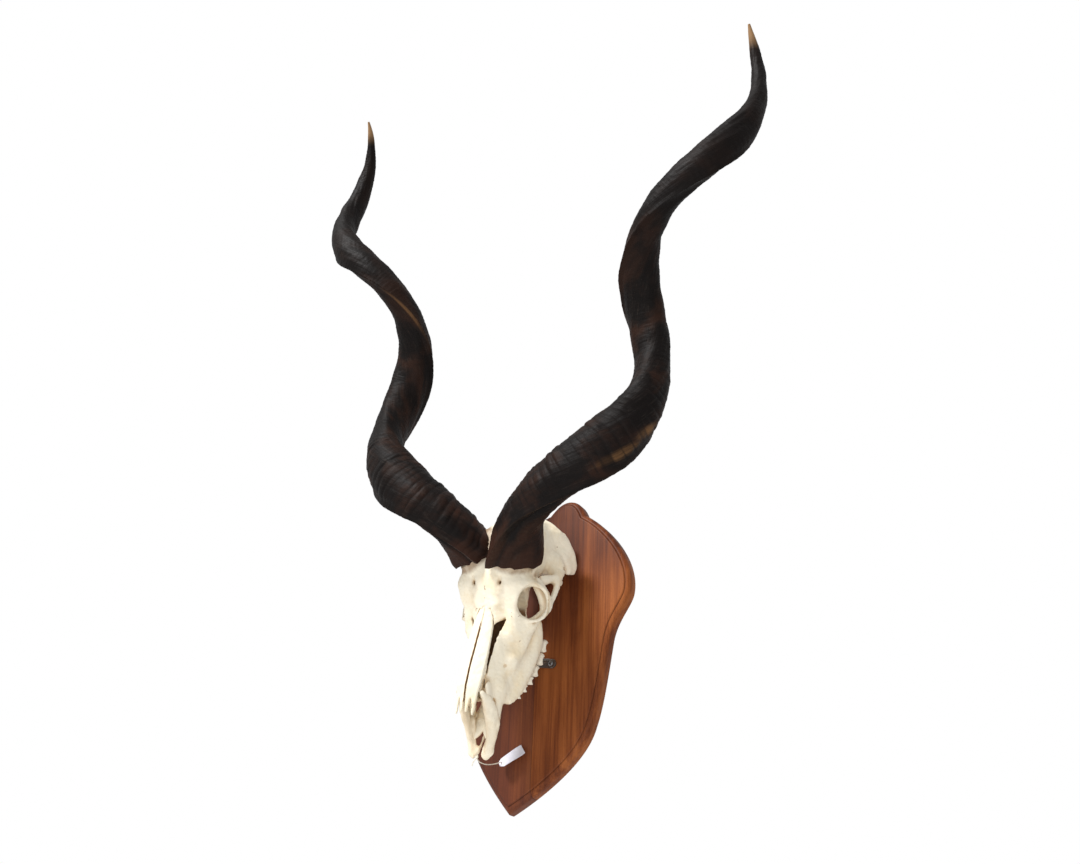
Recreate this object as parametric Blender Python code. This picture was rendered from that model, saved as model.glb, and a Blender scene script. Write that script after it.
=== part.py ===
"""Greater kudu skull and horns on a wooden shield, to hang on a wall.

Frame: metres, +Z up. The origin is at the middle of the shield's flat back, which lies against the wall
on the +Y side. The skull faces -Y with its nose down, and X = 0 is its plane of symmetry. Every size
below is in millimetres and turns into metres when a mesh is made.
"""

from math import cos, pi, radians, sin

import bmesh
import bpy
import numpy as np
from mathutils import Matrix, Vector

MM = 0.001
GAP = 0.3
SIDES = (("left", -1), ("right", 1))

# Shield: Bezier stretches (start, handle, handle, end, steps) in X and Z, from the crown to the toe
SHIELD_STRETCHES = (
    ((0, 278), (18, 278), (29, 264), (38, 249.5), 5),
    ((38, 249.5), (84, 230), (155, 170), (155, 108), 8),
    ((155, 108), (155, 85), (131, 60), (131, 20), 5),
    ((131, 20), (131, -30), (133, -85), (126, -122), 3),
    ((126, -122), (120, -180), (46, -244), (0, -278), 8),
)
SHIELD_THICKNESS = 24
# Moulded edge as (inset, height above the back)
SHIELD_EDGE = ((0, 0), (0, 12.5), (1.5, 17.5), (4.5, 20.6), (8, 21.8), (8.8, 21.6), (10.6, 24))

# Horn: a spiral whose direction turns about a leaning axis; s runs from 0 at the skull to 1 at the tip
HORN_LENGTH = 1174
HORN_ORIGIN = (30.8, -187, 89.8)
HORN_AXIS_OUT = 22.0
HORN_AXIS_FORWARD = 14.3
HORN_CONE = (37.1, -21.8, 16.4)
HORN_TURN = (-83.9, 468.3, 548.2, -332.4)
HORN_START = 0.03
HORN_SLANT_END = 0.10
# Share of the spiral that each horn runs; the right one ends a little sooner
HORN_ENDS = {"left": 1.0, "right": 0.965}
HORN_RADII = (
    (0, 39), (0.08, 39.5), (0.17, 40.5), (0.24, 39.5), (0.31, 34.5), (0.42, 32), (0.56, 27.5),
    (0.72, 26), (0.8, 22.5), (0.87, 16.5), (0.93, 11), (0.975, 6), (1, 2),
)
HORN_KEEL_AT = 237
HORN_KEEL_HEIGHT = 0.12
HORN_KEEL_WIDTH = 26
HORN_FLATTENING = 0.08
HORN_RIM_NORMAL = (0.50, -0.85, 0.17)
PEDICLE_RADIUS = 33
PEDICLE_FLARE = 4
PEDICLE_LENGTH = 60
PEDICLE_BACK = 8
HORN_SEAT_LENGTH = 0.09
HORN_RINGS = 38
HORN_BASE_RINGS = 5
HORN_BASE_END = 0.12
HORN_SIDES = 12

# Skull core: stations (z, front y, back y, half width at the back, half width at the front)
CORE_STATIONS = (
    (200, -124, -110, 12, 10), (192, -150, -84, 34, 28), (172, -186, -62, 48, 36),
    (147, -214, -62, 50, 44), (120, -223, -76, 42, 54), (92, -224, -102, 36, 60), (62, -219, -116, 33, 60),
    (30, -207, -108, 34, 49), (0, -200, -94, 44, 38), (-50, -200, -92, 49, 30), (-90, -199, -99, 42, 26),
    (-120, -192, -121, 31, 24),
)
CORE_SIDES = 16
ORBIT_CENTRE = (69, -172, 29)
ORBIT_NORMAL = (0.86, -0.49, -0.10)
ORBIT_RING_RADIUS = 30
ORBIT_RIM = 5
ORBIT_BORE = 25.5
ORBIT_DEPTH = 60
ORBIT_TAPER = 0.7
BROW = ((0, -196, 62, 24), (34, -190, 55, 27), (58, -182, 47, 26), (68, -176, 40, 22))
BROW_THINNING = 0.62
CHEEKBONE = (
    (46, -148, -12, 13), (61, -146, 2, 9), (68, -134, 26, 7), (69, -118, 50, 6), (66, -106, 76, 6),
    (57, -97, 100, 9), (38, -95, 118, 14),
)
POSTORBITAL_BAR = ((62, -152, 66, 9), (66, -142, 52, 8), (68, -128, 34, 8))
EYE_FRONT = ((50, -190, 54, 17), (51, -184, 28, 15), (48, -176, 2, 15), (42, -166, -22, 14))
NAPE_PLATE = ((36, -86, 154, 16), (45, -66, 142, 12), (49, -53, 132, 8))
NECK_CREST = (
    (36, -112, 176, 17), (46, -82, 164, 17), (51, -60, 150, 13), (52, -50, 137, 9), (51, -46, 127, 5),
)
CONDYLE = ((12, -70, 178, 14), (20, -60, 188, 11), (22, -54, 193, 6))
EAR_BULB = ((26, -94, 124, 16), (30, -70, 116, 12), (34, -51, 106, 6))
ALVEOLAR_RIDGE = (
    (32, -126, -119, 9), (34, -112, -96, 14), (38, -96, -52, 16), (40, -90, -10, 16), (40, -98, 12, 10),
)
SNOUT_SIDE = ((27, -150, -104, 15), (25, -144, -126, 11), (22, -136, -146, 7))
FORAMEN = (25.6, -204, 47, 4, 12)
NOSE_CAVITY = ((-40, -186, -130, 14), (-80, -190, -128, 20), (-135, -206, -124, 23), (-160, -214, -110, 24))
CHEEK_SLIT = ((29, -184, -1, 2.5), (28, -192, -20, 5), (25, -200, -50, 1.5), (24, -204, -124, 1))
SLIT_DEPTH = 24
SLIT_PROUD = 12
SLIT_SLANT = 6

# Nasal bones: (z, outer half width, front y) down the nose, and the fork at their ends
NASAL_STATIONS = (
    (8, 8, -203), (-12, 14, -203.5), (-45, 20.5, -205), (-85, 22, -207), (-118, 20, -206), (-136, 18, -204),
)
NASAL_THICKNESS = 4.2
NASAL_ARCH = 0.012
NASAL_SHOULDER = 0.55
NASAL_TIP = (3, -198, -152)
NASAL_FORK = (14.5, -197, -155)

# Premaxillae: (x, y, z, half breadth) down each prong, and its thin inner strip
PREMAXILLA_PRONG = (
    (24.5, -190, -124, 5), (25.5, -174, -131, 9.5), (25.5, -157, -147, 11), (24.5, -144, -166, 10),
    (22, -135, -185, 8.5), (17.5, -130.5, -199, 7.5), (11.5, -128.5, -208, 5.5),
)
PREMAXILLA_STRIP = ((8, -129, -206, 3), (3.4, -126, -192, 2), (2.8, -123, -168, 2), (2.8, -120, -148, 1.6))

# Cheek teeth: (length along the row, middle z, biting edge y, middle x) from the front of the row
TEETH = (
    (12.5, -105, -104, 33), (14, -91, -94, 35), (15, -75.5, -84, 37), (19.5, -57.5, -76, 38.5),
    (21.5, -36, -70, 40), (22.5, -13, -68, 40),
)
TOOTH_BREADTH = 13
TOOTH_HEIGHT = 26
TOOTH_CUSP = 4
TOOTH_NECK = 0.9
# One crown from above, as shares of its half breadth and half length: two lobes with a waist
TOOTH_SHARE = ((-0.8, -1), (-1.1, -0.5), (-0.85, 0), (-1.1, 0.5), (-0.8, 1))

# Steel bracket between the shield and the palate, with its two round-headed screws
BRACKET_Z = -29
BRACKET_HALF_LENGTH = 41
BRACKET_HALF_HEIGHT = 8
BRACKET_THICKNESS = 3
BRACKET_POST_RADIUS = 5
BRACKET_POST_END = -89.4
SCREW_X = 31
SCREW_HEAD_RADIUS = 5
SCREW_HEAD_HEIGHT = 3
SCREW_HEAD_ARC = 0.42 * pi

# Blank card tag on a string round the end of the nose
TAG_CENTRE = (-4, -37, -190)
TAG_HALF_WIDTH = 12.5
TAG_HALF_HEIGHT = 23
TAG_THICKNESS = 0.6
TAG_CORNER = 6
TAG_LEAN = 30
TAG_TURN = -10
TAG_ROLL = 38
STRING_RADIUS = 0.8
STRING_ROUTE = (
    (0.5, -134.5, -209), (1, -136.5, -212), (1.2, -134, -215.5), (0, -124, -217.5), (-3, -108, -217),
    (-7, -90, -214.5), (-11, -72, -210.5), (-14.5, -56, -206), (-16.3, -48, -203), (-16.7, -43.4, -202),
)


def finish(name, colour, roughness, metallic=0.0):
    """A Principled material."""
    material = bpy.data.materials.new(name)
    material.use_nodes = True
    shader = material.node_tree.nodes["Principled BSDF"]
    shader.inputs["Base Color"].default_value = (*colour, 1)
    shader.inputs["Roughness"].default_value = roughness
    shader.inputs["Metallic"].default_value = metallic
    return material


def clear_scene():
    for item in list(bpy.data.objects):
        bpy.data.objects.remove(item)


def add_mesh(name, mesh, material=None, sharp_angle=40):
    """Puts a finished bmesh (in millimetres) into the scene as a closed, outward-facing object in metres."""
    bmesh.ops.recalc_face_normals(mesh, faces=mesh.faces)
    bmesh.ops.scale(mesh, vec=(MM, MM, MM), verts=mesh.verts)
    data = bpy.data.meshes.new(name)
    mesh.to_mesh(data)
    mesh.free()
    data.shade_smooth()
    data.set_sharp_from_angle(angle=radians(sharp_angle))
    item = bpy.data.objects.new(name, data)
    bpy.context.scene.collection.objects.link(item)
    if material:
        data.materials.append(material)
    return item


def loft(rings):
    """A closed bmesh through rings of equal point counts, capped at both ends."""
    mesh = bmesh.new()
    loops = [[mesh.verts.new(point) for point in ring] for ring in rings]
    for lower, upper in zip(loops, loops[1:]):
        for i in range(len(lower)):
            j = (i + 1) % len(lower)
            mesh.faces.new((lower[i], lower[j], upper[j], upper[i]))
    mesh.faces.new(loops[0])
    mesh.faces.new(loops[-1])
    return mesh


def smooth_through(points, steps):
    """Catmull-Rom points through every row of an array, each row a place with its radius or other values."""
    points = np.array(points, float)
    padded = np.vstack([2 * points[0] - points[1], points, 2 * points[-1] - points[-2]])
    found = []
    for p0, p1, p2, p3 in zip(padded, padded[1:], padded[2:], padded[3:]):
        for t in np.arange(steps) / steps:
            found.append(
                0.5 * (2 * p1 + (p2 - p0) * t + (2 * p0 - 5 * p1 + 4 * p2 - p3) * t**2
                       + (3 * p1 - p0 - 3 * p2 + p3) * t**3)
            )
    return np.array(found + [points[-1]])


def frames_along(path, across):
    """Unit directions (along, side, other) at each point of a path; side stays near to across."""
    along = np.gradient(path, axis=0)
    along /= np.linalg.norm(along, axis=1)[:, None]
    side = np.array(across, float) - (along @ np.array(across, float))[:, None] * along
    side /= np.linalg.norm(side, axis=1)[:, None]
    return along, side, np.cross(along, side)


def rod(route, side=1, steps=3, sides=10, flatness=1.0, across=(0, 0.3, 1)):
    """A closed round or flattened rod along a route of (x, y, z, radius); side -1 mirrors it in X."""
    route = smooth_through(route, steps)
    path, radii = route[:, :3] * (side, 1, 1), route[:, 3]
    _, first, second = frames_along(path, across)
    turns = np.arange(sides) * 2 * pi / sides
    rings = [
        [place + radius * (cos(a) * u + flatness * sin(a) * v) for a in turns]
        for place, radius, u, v in zip(path, radii, first, second)
    ]
    return loft(rings)


def helper(name, mesh):
    """A shape that only adds to or cuts another: it isn't a piece of its own."""
    item = add_mesh(name, mesh)
    item.hide_render = True
    item.display_type = "WIRE"
    return item


def combine(target, operation, other, solver="EXACT"):
    modifier = target.modifiers.new(f"{operation.lower()} {other.name}", "BOOLEAN")
    modifier.operation = operation
    modifier.solver = solver
    modifier.object = other


# Shield


def shield_outline():
    """Points (x, z) right round the shield, clockwise from the crown."""
    half = []
    for start, first, second, end, steps in SHIELD_STRETCHES:
        corners = np.array((start, first, second, end), float)
        for t in np.arange(steps) / steps:
            half.append(np.array(((1 - t) ** 3, 3 * t * (1 - t) ** 2, 3 * t**2 * (1 - t), t**3)) @ corners)
    toe = np.array(SHIELD_STRETCHES[-1][3], float)
    return np.array(half + [toe] + [point * (-1, 1) for point in half[:0:-1]])


def inset(outline, distance):
    """The outline moved inwards by a distance, with mitred corners."""
    edges = np.roll(outline, -1, axis=0) - outline
    edges /= np.linalg.norm(edges, axis=1)[:, None]
    inward = np.stack([edges[:, 1], -edges[:, 0]], axis=1)
    before = np.roll(inward, 1, axis=0)
    mitre = (inward + before) / (1 + (inward * before).sum(axis=1))[:, None]
    return outline + distance * mitre


def make_shield(material):
    outline = shield_outline()
    rings = [
        [(x, -height, z) for x, z in inset(outline, distance)]
        for distance, height in SHIELD_EDGE
    ]
    return add_mesh("shield", loft(rings), material, sharp_angle=30)


# Horns


def horn_radius(s):
    table = smooth_through(HORN_RADII, 6)
    return np.interp(s, table[:, 0], table[:, 1])


def horn_spiral(s):
    """The right horn's places and unit directions (along, towards the axis, across both) at each s."""
    out, forward = radians(HORN_AXIS_OUT), radians(HORN_AXIS_FORWARD)
    axis = np.array((sin(out) * cos(forward), -sin(forward), cos(out) * cos(forward)))
    first = np.cross((0, 1, 0), axis)
    first /= np.linalg.norm(first)
    second = np.cross(axis, first)
    fine = np.linspace(0, 1, 1001)
    cone = np.radians(np.polyval(HORN_CONE[::-1], fine))[:, None]
    turn = np.radians(np.polyval(HORN_TURN[::-1], fine))[:, None]
    along = np.cos(cone) * axis + np.sin(cone) * (np.cos(turn) * first + np.sin(turn) * second)
    steps = (along[1:] + along[:-1]) / 2 * HORN_LENGTH / (len(fine) - 1)
    path = np.array(HORN_ORIGIN) + np.vstack([np.zeros(3), np.cumsum(steps, axis=0)])
    towards = np.cos(turn) * second - np.sin(turn) * first
    towards -= (towards * along).sum(axis=1)[:, None] * along
    towards /= np.linalg.norm(towards, axis=1)[:, None]

    def at(values):
        return np.stack([np.interp(s, fine, values[:, k]) for k in range(3)], axis=1)

    path, along, towards = at(path), at(along), at(towards)
    return path, along, towards, np.cross(along, towards)


def horn_section(angle):
    """Radius round the horn, as a share of its mean: an oval with a keel along one edge."""
    from_keel = (np.degrees(angle) - HORN_KEEL_AT + 180) % 360 - 180
    keel = HORN_KEEL_HEIGHT * np.exp(-((from_keel / HORN_KEEL_WIDTH) ** 2))
    return 1 + HORN_FLATTENING * np.cos(np.radians(2 * from_keel)) + keel


def horn_rings(s, grow=0.0, end=1.0):
    path, _, towards, across = horn_spiral(s)
    angle = np.arange(HORN_SIDES) * 2 * pi / HORN_SIDES + radians(HORN_KEEL_AT)
    reach = horn_radius(s / end)[:, None] * horn_section(angle)[None, :] + grow
    ways = (
        np.cos(angle)[None, :, None] * towards[:, None, :]
        + np.sin(angle)[None, :, None] * across[:, None, :]
    )
    return path[:, None, :] + reach[:, :, None] * ways


def onto_rim_plane(ring, along, lift=0.0):
    """Slides a ring's points along the horn until they lie in the plane of its rim."""
    normal = np.array(HORN_RIM_NORMAL) / np.linalg.norm(HORN_RIM_NORMAL)
    middle = ring.mean(axis=0) + lift * normal
    return ring + ((middle - ring) @ normal / (along @ normal))[:, None] * along


def rim_clear(s):
    """How much of the rim's slant remains at s: all of it at the rim, none a little further along."""
    return np.clip((HORN_SLANT_END - s) / (HORN_SLANT_END - HORN_START), 0, 1)


def make_horn(label, side, material):
    end = HORN_ENDS[label]
    base = np.linspace(HORN_START, HORN_BASE_END, HORN_BASE_RINGS, endpoint=False)
    s = np.concatenate([base, np.linspace(HORN_BASE_END, end, HORN_RINGS - HORN_BASE_RINGS)])
    rings = horn_rings(s, end=end)
    _, along, _, _ = horn_spiral(s)
    for i, share in enumerate(rim_clear(s)):
        rings[i] += share * (onto_rim_plane(rings[i], along[i]) - rings[i])
    return add_mesh(f"horn_{label}", loft(rings * (side, 1, 1)), material, sharp_angle=60)


def make_horn_seat(side):
    """The room that a horn takes above its rim, with clearance, to cut from the skull."""
    s = np.linspace(HORN_START, HORN_START + HORN_SEAT_LENGTH, 3)
    rings = horn_rings(s, grow=2 * GAP)
    _, along, _, _ = horn_spiral(s)
    for i, share in enumerate(rim_clear(s)):
        lift = -GAP if i == 0 else 0.0
        rings[i] += share * (onto_rim_plane(rings[i], along[i], lift) - rings[i])
    return helper("horn seat", loft(rings * (side, 1, 1)))


# Skull


def core_ring(z, front, back, back_half, front_half):
    """One rounded section of the skull core, wider or narrower towards the front."""
    middle, depth = (front + back) / 2, (back - front) / 2
    points = []
    for a in np.arange(CORE_SIDES) * 2 * pi / CORE_SIDES:
        x, y = (np.sign(v) * abs(v) ** 0.75 for v in (cos(a), sin(a)))
        half = back_half + (front_half - back_half) * (1 - y) / 2
        points.append((half * x, middle + depth * y, z))
    return points


def disc_frame(normal):
    """A rotation whose Z axis is the given direction."""
    return Vector(normal).to_track_quat("Z", "Y").to_matrix().to_4x4()


def make_orbit_ring(side):
    mesh = bmesh.new()
    centre, normal = Vector(ORBIT_CENTRE), Vector(ORBIT_NORMAL).normalized()
    turn = disc_frame(normal)
    rings = []
    for a in np.arange(16) * 2 * pi / 16:
        out = turn @ Vector((cos(a), sin(a), 0))
        rings.append([
            centre + out * (ORBIT_RING_RADIUS + ORBIT_RIM * cos(b)) + normal * ORBIT_RIM * sin(b)
            for b in np.arange(8) * 2 * pi / 8
        ])
    loops = [[mesh.verts.new(point) for point in ring] for ring in rings]
    for lower, upper in zip(loops, loops[1:] + loops[:1]):
        for i in range(8):
            j = (i + 1) % 8
            mesh.faces.new((lower[i], lower[j], upper[j], upper[i]))
    bmesh.ops.scale(mesh, vec=(side, 1, 1), verts=mesh.verts)
    return helper("orbit ring", mesh)


def cylinder(centre, normal, radius, depth, side=1, sides=20, far_radius=None):
    mesh = bmesh.new()
    place = Matrix.Translation(centre) @ disc_frame(normal)
    bmesh.ops.create_cone(
        mesh, cap_ends=True, segments=sides, radius1=far_radius or radius, radius2=radius, depth=depth,
        matrix=place,
    )
    bmesh.ops.scale(mesh, vec=(side, 1, 1), verts=mesh.verts)
    return mesh


def make_brow(side):
    rings = []
    for x, y, z, reach in smooth_through(BROW, 2):
        rings.append([
            (side * x, y + BROW_THINNING * reach * sin(a), z + reach * cos(a))
            for a in np.arange(12) * 2 * pi / 12
        ])
    return helper("brow", loft(rings))


def make_slit(side):
    """Wedge that opens the fissure between the nasal and the upper jaw."""
    rings = []
    for x, y, z, half in CHEEK_SLIT:
        rings.append([
            (side * (x + dx), y + dy, z)
            for dx, dy in (
                (-half, -SLIT_PROUD), (half, -SLIT_PROUD),
                (half - SLIT_SLANT, SLIT_DEPTH), (-half - SLIT_SLANT, SLIT_DEPTH),
            )
        ])
    return helper("cheek slit", loft(rings))


def make_nose_cavity():
    rings = []
    for z, front, back, half in NOSE_CAVITY:
        middle, depth = (front + back) / 2, (back - front) / 2
        rings.append([(half * cos(a), middle + depth * sin(a), z) for a in np.arange(14) * 2 * pi / 14])
    return helper("nose cavity", loft(rings))


def nasal_mesh(side, grow=0.0):
    """A nasal bone: a long curved plate that ends in two prongs."""
    mesh = bmesh.new()
    inner_x = GAP / 2 - grow
    rows = []
    for z, outer, front in NASAL_STATIONS:
        fall = NASAL_ARCH * outer**2
        shoulder, drop = outer * NASAL_SHOULDER, NASAL_SHOULDER**2 * fall
        below = NASAL_THICKNESS + grow
        rows.append([
            (inner_x, front - grow), (shoulder, front + drop - grow), (outer + grow, front + fall),
            (outer + grow, front + fall + below), (shoulder, front + drop + below), (inner_x, front + below),
        ])
    heights = [z for z, _, _ in NASAL_STATIONS]
    heights[0] += grow
    loops = [[mesh.verts.new((side * x, y, z)) for x, y in row] for row, z in zip(rows, heights)]
    for lower, upper in zip(loops, loops[1:]):
        for i in range(6):
            j = (i + 1) % 6
            mesh.faces.new((lower[i], lower[j], upper[j], upper[i]))
    mesh.faces.new(loops[0])
    for tip, columns in ((NASAL_TIP, (0, 1, 4, 5)), (NASAL_FORK, (1, 2, 3, 4))):
        root = [loops[-1][k] for k in columns]
        x, y, z = tip
        end = [
            mesh.verts.new((side * (x + dx), y + dy, z - grow))
            for dx, dy in ((-1.8, -1.2), (1.8, -1.2), (1.8, 1.4), (-1.8, 1.4))
        ]
        for i in range(4):
            j = (i + 1) % 4
            mesh.faces.new((root[i], root[j], end[j], end[i]))
        mesh.faces.new(end)
    return mesh


def tooth_mesh(side, length, z, edge, x, grow=0.0):
    """A cheek tooth: a two-lobed crown whose biting edge stands in cusps round a hollow."""
    mesh = bmesh.new()
    half_length, half_breadth = length / 2 + grow, TOOTH_BREADTH / 2 + grow
    outline = [*TOOTH_SHARE, *((-u, -v) for u, v in TOOTH_SHARE)]
    root, crown = [], []
    for u, v in outline:
        neck_x, neck_z = x + TOOTH_NECK * half_breadth * u, z + TOOTH_NECK * half_length * v
        root.append(mesh.verts.new((side * neck_x, edge - TOOTH_HEIGHT - grow, neck_z)))
        cusp = edge + grow if abs(v) == 0.5 else edge - TOOTH_CUSP
        crown.append(mesh.verts.new((side * (x + half_breadth * u), cusp, z + half_length * v)))
    hollow = mesh.verts.new((side * x, edge - TOOTH_CUSP, z))
    for i in range(len(outline)):
        j = (i + 1) % len(outline)
        mesh.faces.new((root[i], root[j], crown[j], crown[i]))
        mesh.faces.new((crown[i], crown[j], hollow))
    mesh.faces.new(root)
    return mesh


def make_tooth_groove(side):
    """The stepped groove in the jaw that holds the roots of one row of teeth, with clearance."""
    half = 0.55 * TOOTH_BREADTH + 2 * GAP
    rings = []
    for length, z, edge, x in TEETH:
        low, high = edge - TOOTH_HEIGHT - 2 * GAP, edge + TOOTH_HEIGHT
        corners = ((x - half, low), (x + half, low), (x + half, high), (x - half, high))
        for end in (z - length / 2 - GAP, z + length / 2 + GAP):
            rings.append([(side * corner, y, end) for corner, y in corners])
    return helper("tooth groove", loft(rings))


def make_pedicle(side):
    """The boss that carries a horn: it reaches past the rim, and the horn's seat trims it."""
    path, along, _, _ = horn_spiral(np.array((HORN_START,)))
    centre = Vector(path[0] - PEDICLE_BACK * along[0])
    wide = PEDICLE_RADIUS + PEDICLE_FLARE
    boss = cylinder(centre, along[0], PEDICLE_RADIUS, PEDICLE_LENGTH, side, far_radius=wide)
    return helper("pedicle", boss)


def make_skull(material):
    """The skull without its horns, nasals, premaxillae and teeth, each of which has its own bed in it."""
    rings = [core_ring(*station) for station in smooth_through(CORE_STATIONS, 2)]
    skull = add_mesh("skull", loft(rings), material)
    combine(skull, "DIFFERENCE", make_nose_cavity())
    for _, side in SIDES:
        for route in (ALVEOLAR_RIDGE, SNOUT_SIDE):
            combine(skull, "UNION", helper("jaw edge", rod(route, side, 2, flatness=0.8, across=(0, 1, 0))))
        for route in (EYE_FRONT, NECK_CREST, NAPE_PLATE, CONDYLE, EAR_BULB):
            combine(skull, "UNION", helper("bone end", rod(route, side, 2, sides=8)))
        combine(skull, "UNION", make_brow(side))
        combine(skull, "UNION", make_pedicle(side))
        bore = cylinder(
            Vector(ORBIT_CENTRE), ORBIT_NORMAL, ORBIT_BORE, ORBIT_DEPTH, side,
            far_radius=ORBIT_BORE * ORBIT_TAPER,
        )
        combine(skull, "DIFFERENCE", helper("orbit", bore))
        combine(skull, "UNION", make_orbit_ring(side))
        for route in (CHEEKBONE, POSTORBITAL_BAR):
            combine(skull, "UNION", helper("bar", rod(route, side, 2, sides=8)))
    for _, side in SIDES:
        combine(skull, "DIFFERENCE", make_horn_seat(side))
        combine(skull, "DIFFERENCE", make_slit(side))
        x, y, z, radius, depth = FORAMEN
        hole = cylinder((x, y, z), (0, 1, 0), radius, 3 * depth, side, 10)
        combine(skull, "DIFFERENCE", helper("foramen", hole))
        combine(skull, "DIFFERENCE", helper("nasal bed", nasal_mesh(side, GAP)))
        combine(skull, "DIFFERENCE", helper("prong bed", rod(grown(PREMAXILLA_PRONG), side, 2, flatness=0.6)))
        combine(skull, "DIFFERENCE", make_tooth_groove(side), "MANIFOLD")
    return skull


def grown(route):
    """A rod's route with its radii larger by the clearance."""
    return [(x, y, z, radius + 2 * GAP) for x, y, z, radius in route]


def make_premaxilla(name, side, material):
    item = add_mesh(name, rod(PREMAXILLA_PRONG, side, 2, flatness=0.6), material)
    combine(item, "UNION", helper("strip", rod(PREMAXILLA_STRIP, side, 2, sides=6)))
    return item


# Bracket, tag and string


def slab(outline, low, high):
    """An outline of (x, z) points as a plate between two distances in front of the wall."""
    return loft([[(x, -low, z) for x, z in outline], [(x, -high, z) for x, z in outline]])


def rounded_bar(half_length, half_height, steps=6):
    """A bar's outline with half-round ends."""
    points = []
    for end in (1, -1):
        for a in np.linspace(-pi / 2, pi / 2, steps) + (0 if end > 0 else pi):
            points.append((end * (half_length - half_height) + half_height * cos(a), half_height * sin(a)))
    return points


def make_bracket(material):
    face = SHIELD_THICKNESS + GAP
    outline = [(x, z + BRACKET_Z) for x, z in rounded_bar(BRACKET_HALF_LENGTH, BRACKET_HALF_HEIGHT)]
    plate = add_mesh("bracket", slab(outline, face, face + BRACKET_THICKNESS), material)
    start, end = -(face + BRACKET_THICKNESS / 2), BRACKET_POST_END
    post = cylinder((0, (start + end) / 2, BRACKET_Z), (0, -1, 0), BRACKET_POST_RADIUS, start - end, sides=16)
    combine(plate, "UNION", helper("post", post))
    return plate


def make_screw(name, side, material):
    """A round-headed screw, as much of it as stands above the bracket."""
    foot = SHIELD_THICKNESS + BRACKET_THICKNESS + 2 * GAP
    rings = []
    for a in np.linspace(0, SCREW_HEAD_ARC, 3):
        radius, height = SCREW_HEAD_RADIUS * cos(a), foot + SCREW_HEAD_HEIGHT * sin(a)
        rings.append([
            (side * SCREW_X + radius * cos(b), -height, BRACKET_Z + radius * sin(b))
            for b in np.arange(12) * 2 * pi / 12
        ])
    return add_mesh(name, loft(rings), material)


def make_tag(material):
    w, h, c = TAG_HALF_WIDTH, TAG_HALF_HEIGHT, TAG_CORNER
    outline = [(c - w, -h), (w - c, -h), (w, c - h), (w, h), (-w, h), (-w, c - h)]
    mesh = slab(outline, -TAG_THICKNESS / 2, TAG_THICKNESS / 2)
    place = Matrix.Translation(TAG_CENTRE)
    place @= Matrix.Rotation(radians(TAG_TURN), 4, "Z") @ Matrix.Rotation(radians(-TAG_LEAN), 4, "X")
    place @= Matrix.Rotation(radians(TAG_ROLL), 4, "Y")
    bmesh.ops.transform(mesh, matrix=place, verts=mesh.verts)
    return add_mesh("tag", mesh, material)


def make_string(material):
    """The string is a curve with a round bevel and filled caps."""
    curve = bpy.data.curves.new("tag_string", "CURVE")
    curve.dimensions = "3D"
    curve.bevel_depth = STRING_RADIUS * MM
    curve.bevel_resolution = 2
    curve.use_fill_caps = True
    points = smooth_through(STRING_ROUTE, 2) * MM
    spline = curve.splines.new("POLY")
    spline.points.add(len(points) - 1)
    for point, place in zip(spline.points, points):
        point.co = (*place, 1)
    item = bpy.data.objects.new("tag_string", curve)
    bpy.context.scene.collection.objects.link(item)
    curve.materials.append(material)
    return item


def main():
    clear_scene()
    wood = finish("varnished hardwood", (0.23, 0.075, 0.028), 0.35)
    bone = finish("bleached bone", (0.80, 0.74, 0.60), 0.6)
    enamel = finish("tooth enamel", (0.80, 0.70, 0.55), 0.4)
    horn = finish("dark horn", (0.028, 0.018, 0.014), 0.45)
    steel = finish("grey steel", (0.45, 0.44, 0.44), 0.35, 1.0)
    card = finish("white card", (0.86, 0.86, 0.90), 0.7)
    thread = finish("cream string", (0.78, 0.72, 0.58), 0.8)

    make_shield(wood)
    make_skull(bone)
    for label, side in SIDES:
        make_horn(label, side, horn)
        add_mesh(f"nasal_{label}", nasal_mesh(side), bone)
        make_premaxilla(f"premaxilla_{label}", side, bone)
        for i, (length, z, edge, x) in enumerate(TEETH):
            add_mesh(f"tooth_{label}_{i + 1}", tooth_mesh(side, length, z, edge, x), enamel)
        make_screw(f"bracket_screw_{label}", side, steel)
    make_bracket(steel)
    make_tag(card)
    make_string(thread)


main()
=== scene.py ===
"""Greater kudu skull and horns on a wooden shield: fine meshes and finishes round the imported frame.

Sizes are in millimetres, and turn into metres when a mesh is made. Skull bones are modelled like clay:
rounded bars, blobs and slabs are added to or carved from a distance field, and its skin becomes the mesh.
"""

import logging
from dataclasses import dataclass, field
from enum import Enum
from math import cos, pi, radians, sin
from typing import Any, Sequence

import bpy
import numpy as np
from mathutils import Matrix, Vector


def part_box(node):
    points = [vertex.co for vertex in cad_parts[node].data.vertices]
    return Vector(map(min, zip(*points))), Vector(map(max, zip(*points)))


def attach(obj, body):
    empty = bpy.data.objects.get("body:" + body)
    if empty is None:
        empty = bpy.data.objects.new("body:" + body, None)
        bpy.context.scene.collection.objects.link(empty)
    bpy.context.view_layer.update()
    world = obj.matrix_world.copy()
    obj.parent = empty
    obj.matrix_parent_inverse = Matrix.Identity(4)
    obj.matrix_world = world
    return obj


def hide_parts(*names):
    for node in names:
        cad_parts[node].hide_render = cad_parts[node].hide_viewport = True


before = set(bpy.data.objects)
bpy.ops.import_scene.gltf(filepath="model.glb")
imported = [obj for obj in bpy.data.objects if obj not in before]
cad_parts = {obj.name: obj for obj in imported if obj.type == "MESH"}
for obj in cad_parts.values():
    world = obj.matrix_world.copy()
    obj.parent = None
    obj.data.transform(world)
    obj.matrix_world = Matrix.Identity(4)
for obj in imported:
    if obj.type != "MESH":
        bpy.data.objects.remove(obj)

Array = np.ndarray
Point = tuple[float, float, float]
MM = 0.001
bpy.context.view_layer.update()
log = logging.getLogger("kudu_mount")


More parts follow.
